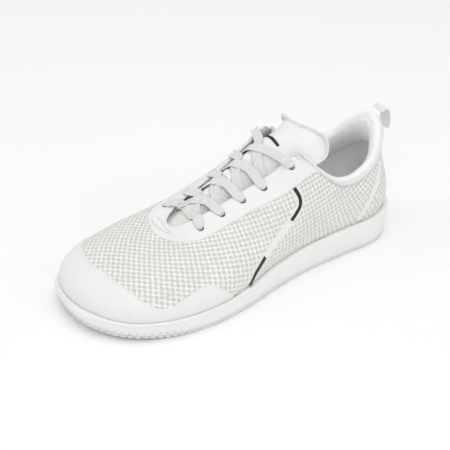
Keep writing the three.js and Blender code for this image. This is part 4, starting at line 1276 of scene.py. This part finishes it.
# A stitch's section as [share of its length, share of its radius].
THREAD_PROFILE = np.array([[0.0, 0.25], [0.12, 0.8], [0.35, 1.0], [0.65, 1.0], [0.88, 0.8], [1.0, 0.25]])


def stitches(name, points, normals, pitch, length, radius):
    """Short rounded threads lying along a line of points."""
    run = run_along(points)
    angle = np.arange(THREAD_SIDES) * 2 * np.pi / THREAD_SIDES
    size = radius * THREAD_PROFILE[:, 1][:, None, None]
    wall, _, _ = tube_faces(len(THREAD_PROFILE), THREAD_SIDES)
    cap = np.array([[0, 7, 6, 1], [1, 6, 5, 2], [2, 5, 4, 3]])
    thread = np.concatenate([wall, cap, cap[:, ::-1] + (len(THREAD_PROFILE) - 1) * THREAD_SIDES])
    found, faces = [], []
    for start in np.arange(pitch / 2, run[-1] - length, pitch):
        at = start + THREAD_PROFILE[:, 0] * length
        centre = np.stack([np.interp(at, run, points[:, k]) for k in range(3)], 1)
        normal = unit(np.stack([np.interp(at, run, normals[:, k]) for k in range(3)], 1))
        side = unit(np.cross(unit(np.gradient(centre, axis=0)), normal))
        ring = side[:, None] * np.cos(angle)[None, :, None] + normal[:, None] * np.sin(angle)[None, :, None]
        faces.append(thread + len(found) * len(THREAD_PROFILE) * THREAD_SIDES)
        found.append((centre[:, None] + ring * size).reshape(-1, 3))
    all_faces, all_points = np.concatenate(faces), np.concatenate(found)
    return piece(name, all_points, all_faces, THREAD, all_points[all_faces][..., :2])


TAB_X = -3
# The loop's line as [y, z], from the collar round to the heel.
TAB_PATH = [
    [140.6, 99.6], [142.6, 101.6], [145.6, 101], [147.8, 97.4], [148.7, 91.5], [148.2, 86], [146.4, 83.6],
]


def pull_loop():
    stops = [stop([TAB_X, y, z], [1, 0, 0], (13.0, 1.4)) for y, z in TAB_PATH]
    loop = band("heel_pull_loop", stops, 12, WEBBING, sides=56, ribs=11, rib_depth=0.07)
    dress(loop, "heel_tab", "webbing", "pull_tab")


def line_on_knit(u, v, out):
    return layer(u, v, out), knit_normal(u, v)


def seams():
    for name, edge, share in (("low", CRESCENT_LOW, 0.006), ("high", CRESCENT_HIGH, -0.006)):
        u = np.linspace(8.6, 12.3, 200)
        points, normals = line_on_knit(u, edge(u) + share, 1.5)
        dress(stitches("crescent_seam_" + name, points, normals, 2.2, 1.7, 0.24), "shoe", "webbing")
    for name, u in (("lateral", 0.11), ("medial", -0.11)):
        v = np.linspace(0.1, 0.86, 160)
        points, normals = line_on_knit(np.full_like(v, u), v, 0.68)
        dress(stitches("heel_seam_" + name, points, normals, 2.6, 1.8, 0.2), "shoe", "webbing")
    across = np.linspace(-0.95, 0.95, 200)
    row = np.full_like(across, TONGUE_END - 0.22)
    points = tongue_layer(row, across, 0.95)
    seam = stitches("tongue_tape_seam", points, tongue_normal(row, across), 2.4, 1.7, 0.2)
    dress(seam, "tongue_top", "webbing")
    u = np.linspace(COLLAR_FROM + 0.55, COLLAR_TO - 0.5, 400)
    points = collar_point(u, -1.9, -1.02, NO_LIMIT)
    dress(stitches("collar_tape_seam", points, knit_normal(u, 1), 2.6, 1.8, 0.18), "shoe", "webbing")


# ---- Build ----
PUNCH = punches()
outsole()
midsole()
footbed()
knit_shell()
linings()
films()
stripes()
rear_lining()
collar_padding()
collar_tape()
tongue_body()
tongue_details()
laces()
pull_loop()
seams()
bpy.data.objects.remove(PUNCH)


# ---- Studio ----
def studio():
    g = Graph("floor_paper", Roughness=0.9, Specular_IOR_Level=0.1)
    tone = g.mix(g.noise(g.place(), 3.0, 2.0), (0.955, 0.955, 0.955), (0.97, 0.97, 0.97))
    paper = g.finish(tone)
    half = 4.0
    corners = [(-half, -half, 0), (half, -half, 0), (half, half, 0), (-half, half, 0)]
    mesh = bpy.data.meshes.new("floor")
    mesh.from_pydata(corners, [], [(0, 1, 2, 3)])
    mesh.materials.append(paper)
    floor = bpy.data.objects.new("floor", mesh)
    bpy.context.scene.collection.objects.link(floor)
    world = bpy.data.worlds.new("studio")
    bpy.context.scene.world = world
    world.use_nodes = True
    background = world.node_tree.nodes["Background"]
    background.inputs["Color"].default_value = (1, 1, 1, 1)
    background.inputs["Strength"].default_value = 0.68
    lamps = [
        ("overhead", (0.2, 0.0, 2.0), 1.6, 8),
        ("front_left", (-0.9, -1.5, 1.5), 1.2, 4),
        ("front_right", (1.5, -0.8, 1.7), 1.2, 8),
        ("right", (1.7, 0.9, 1.2), 1.0, 3.5),
    ]
    for name, place, size, power in lamps:
        lamp = bpy.data.lights.new(name, "AREA")
        lamp.shape, lamp.size, lamp.energy = "DISK", size, power
        obj = bpy.data.objects.new(name, lamp)
        obj.location = place
        obj.rotation_euler = Vector(place).to_track_quat("Z", "Y").to_euler()
        bpy.context.scene.collection.objects.link(obj)
    bpy.context.scene.view_settings.view_transform = "Standard"


studio()
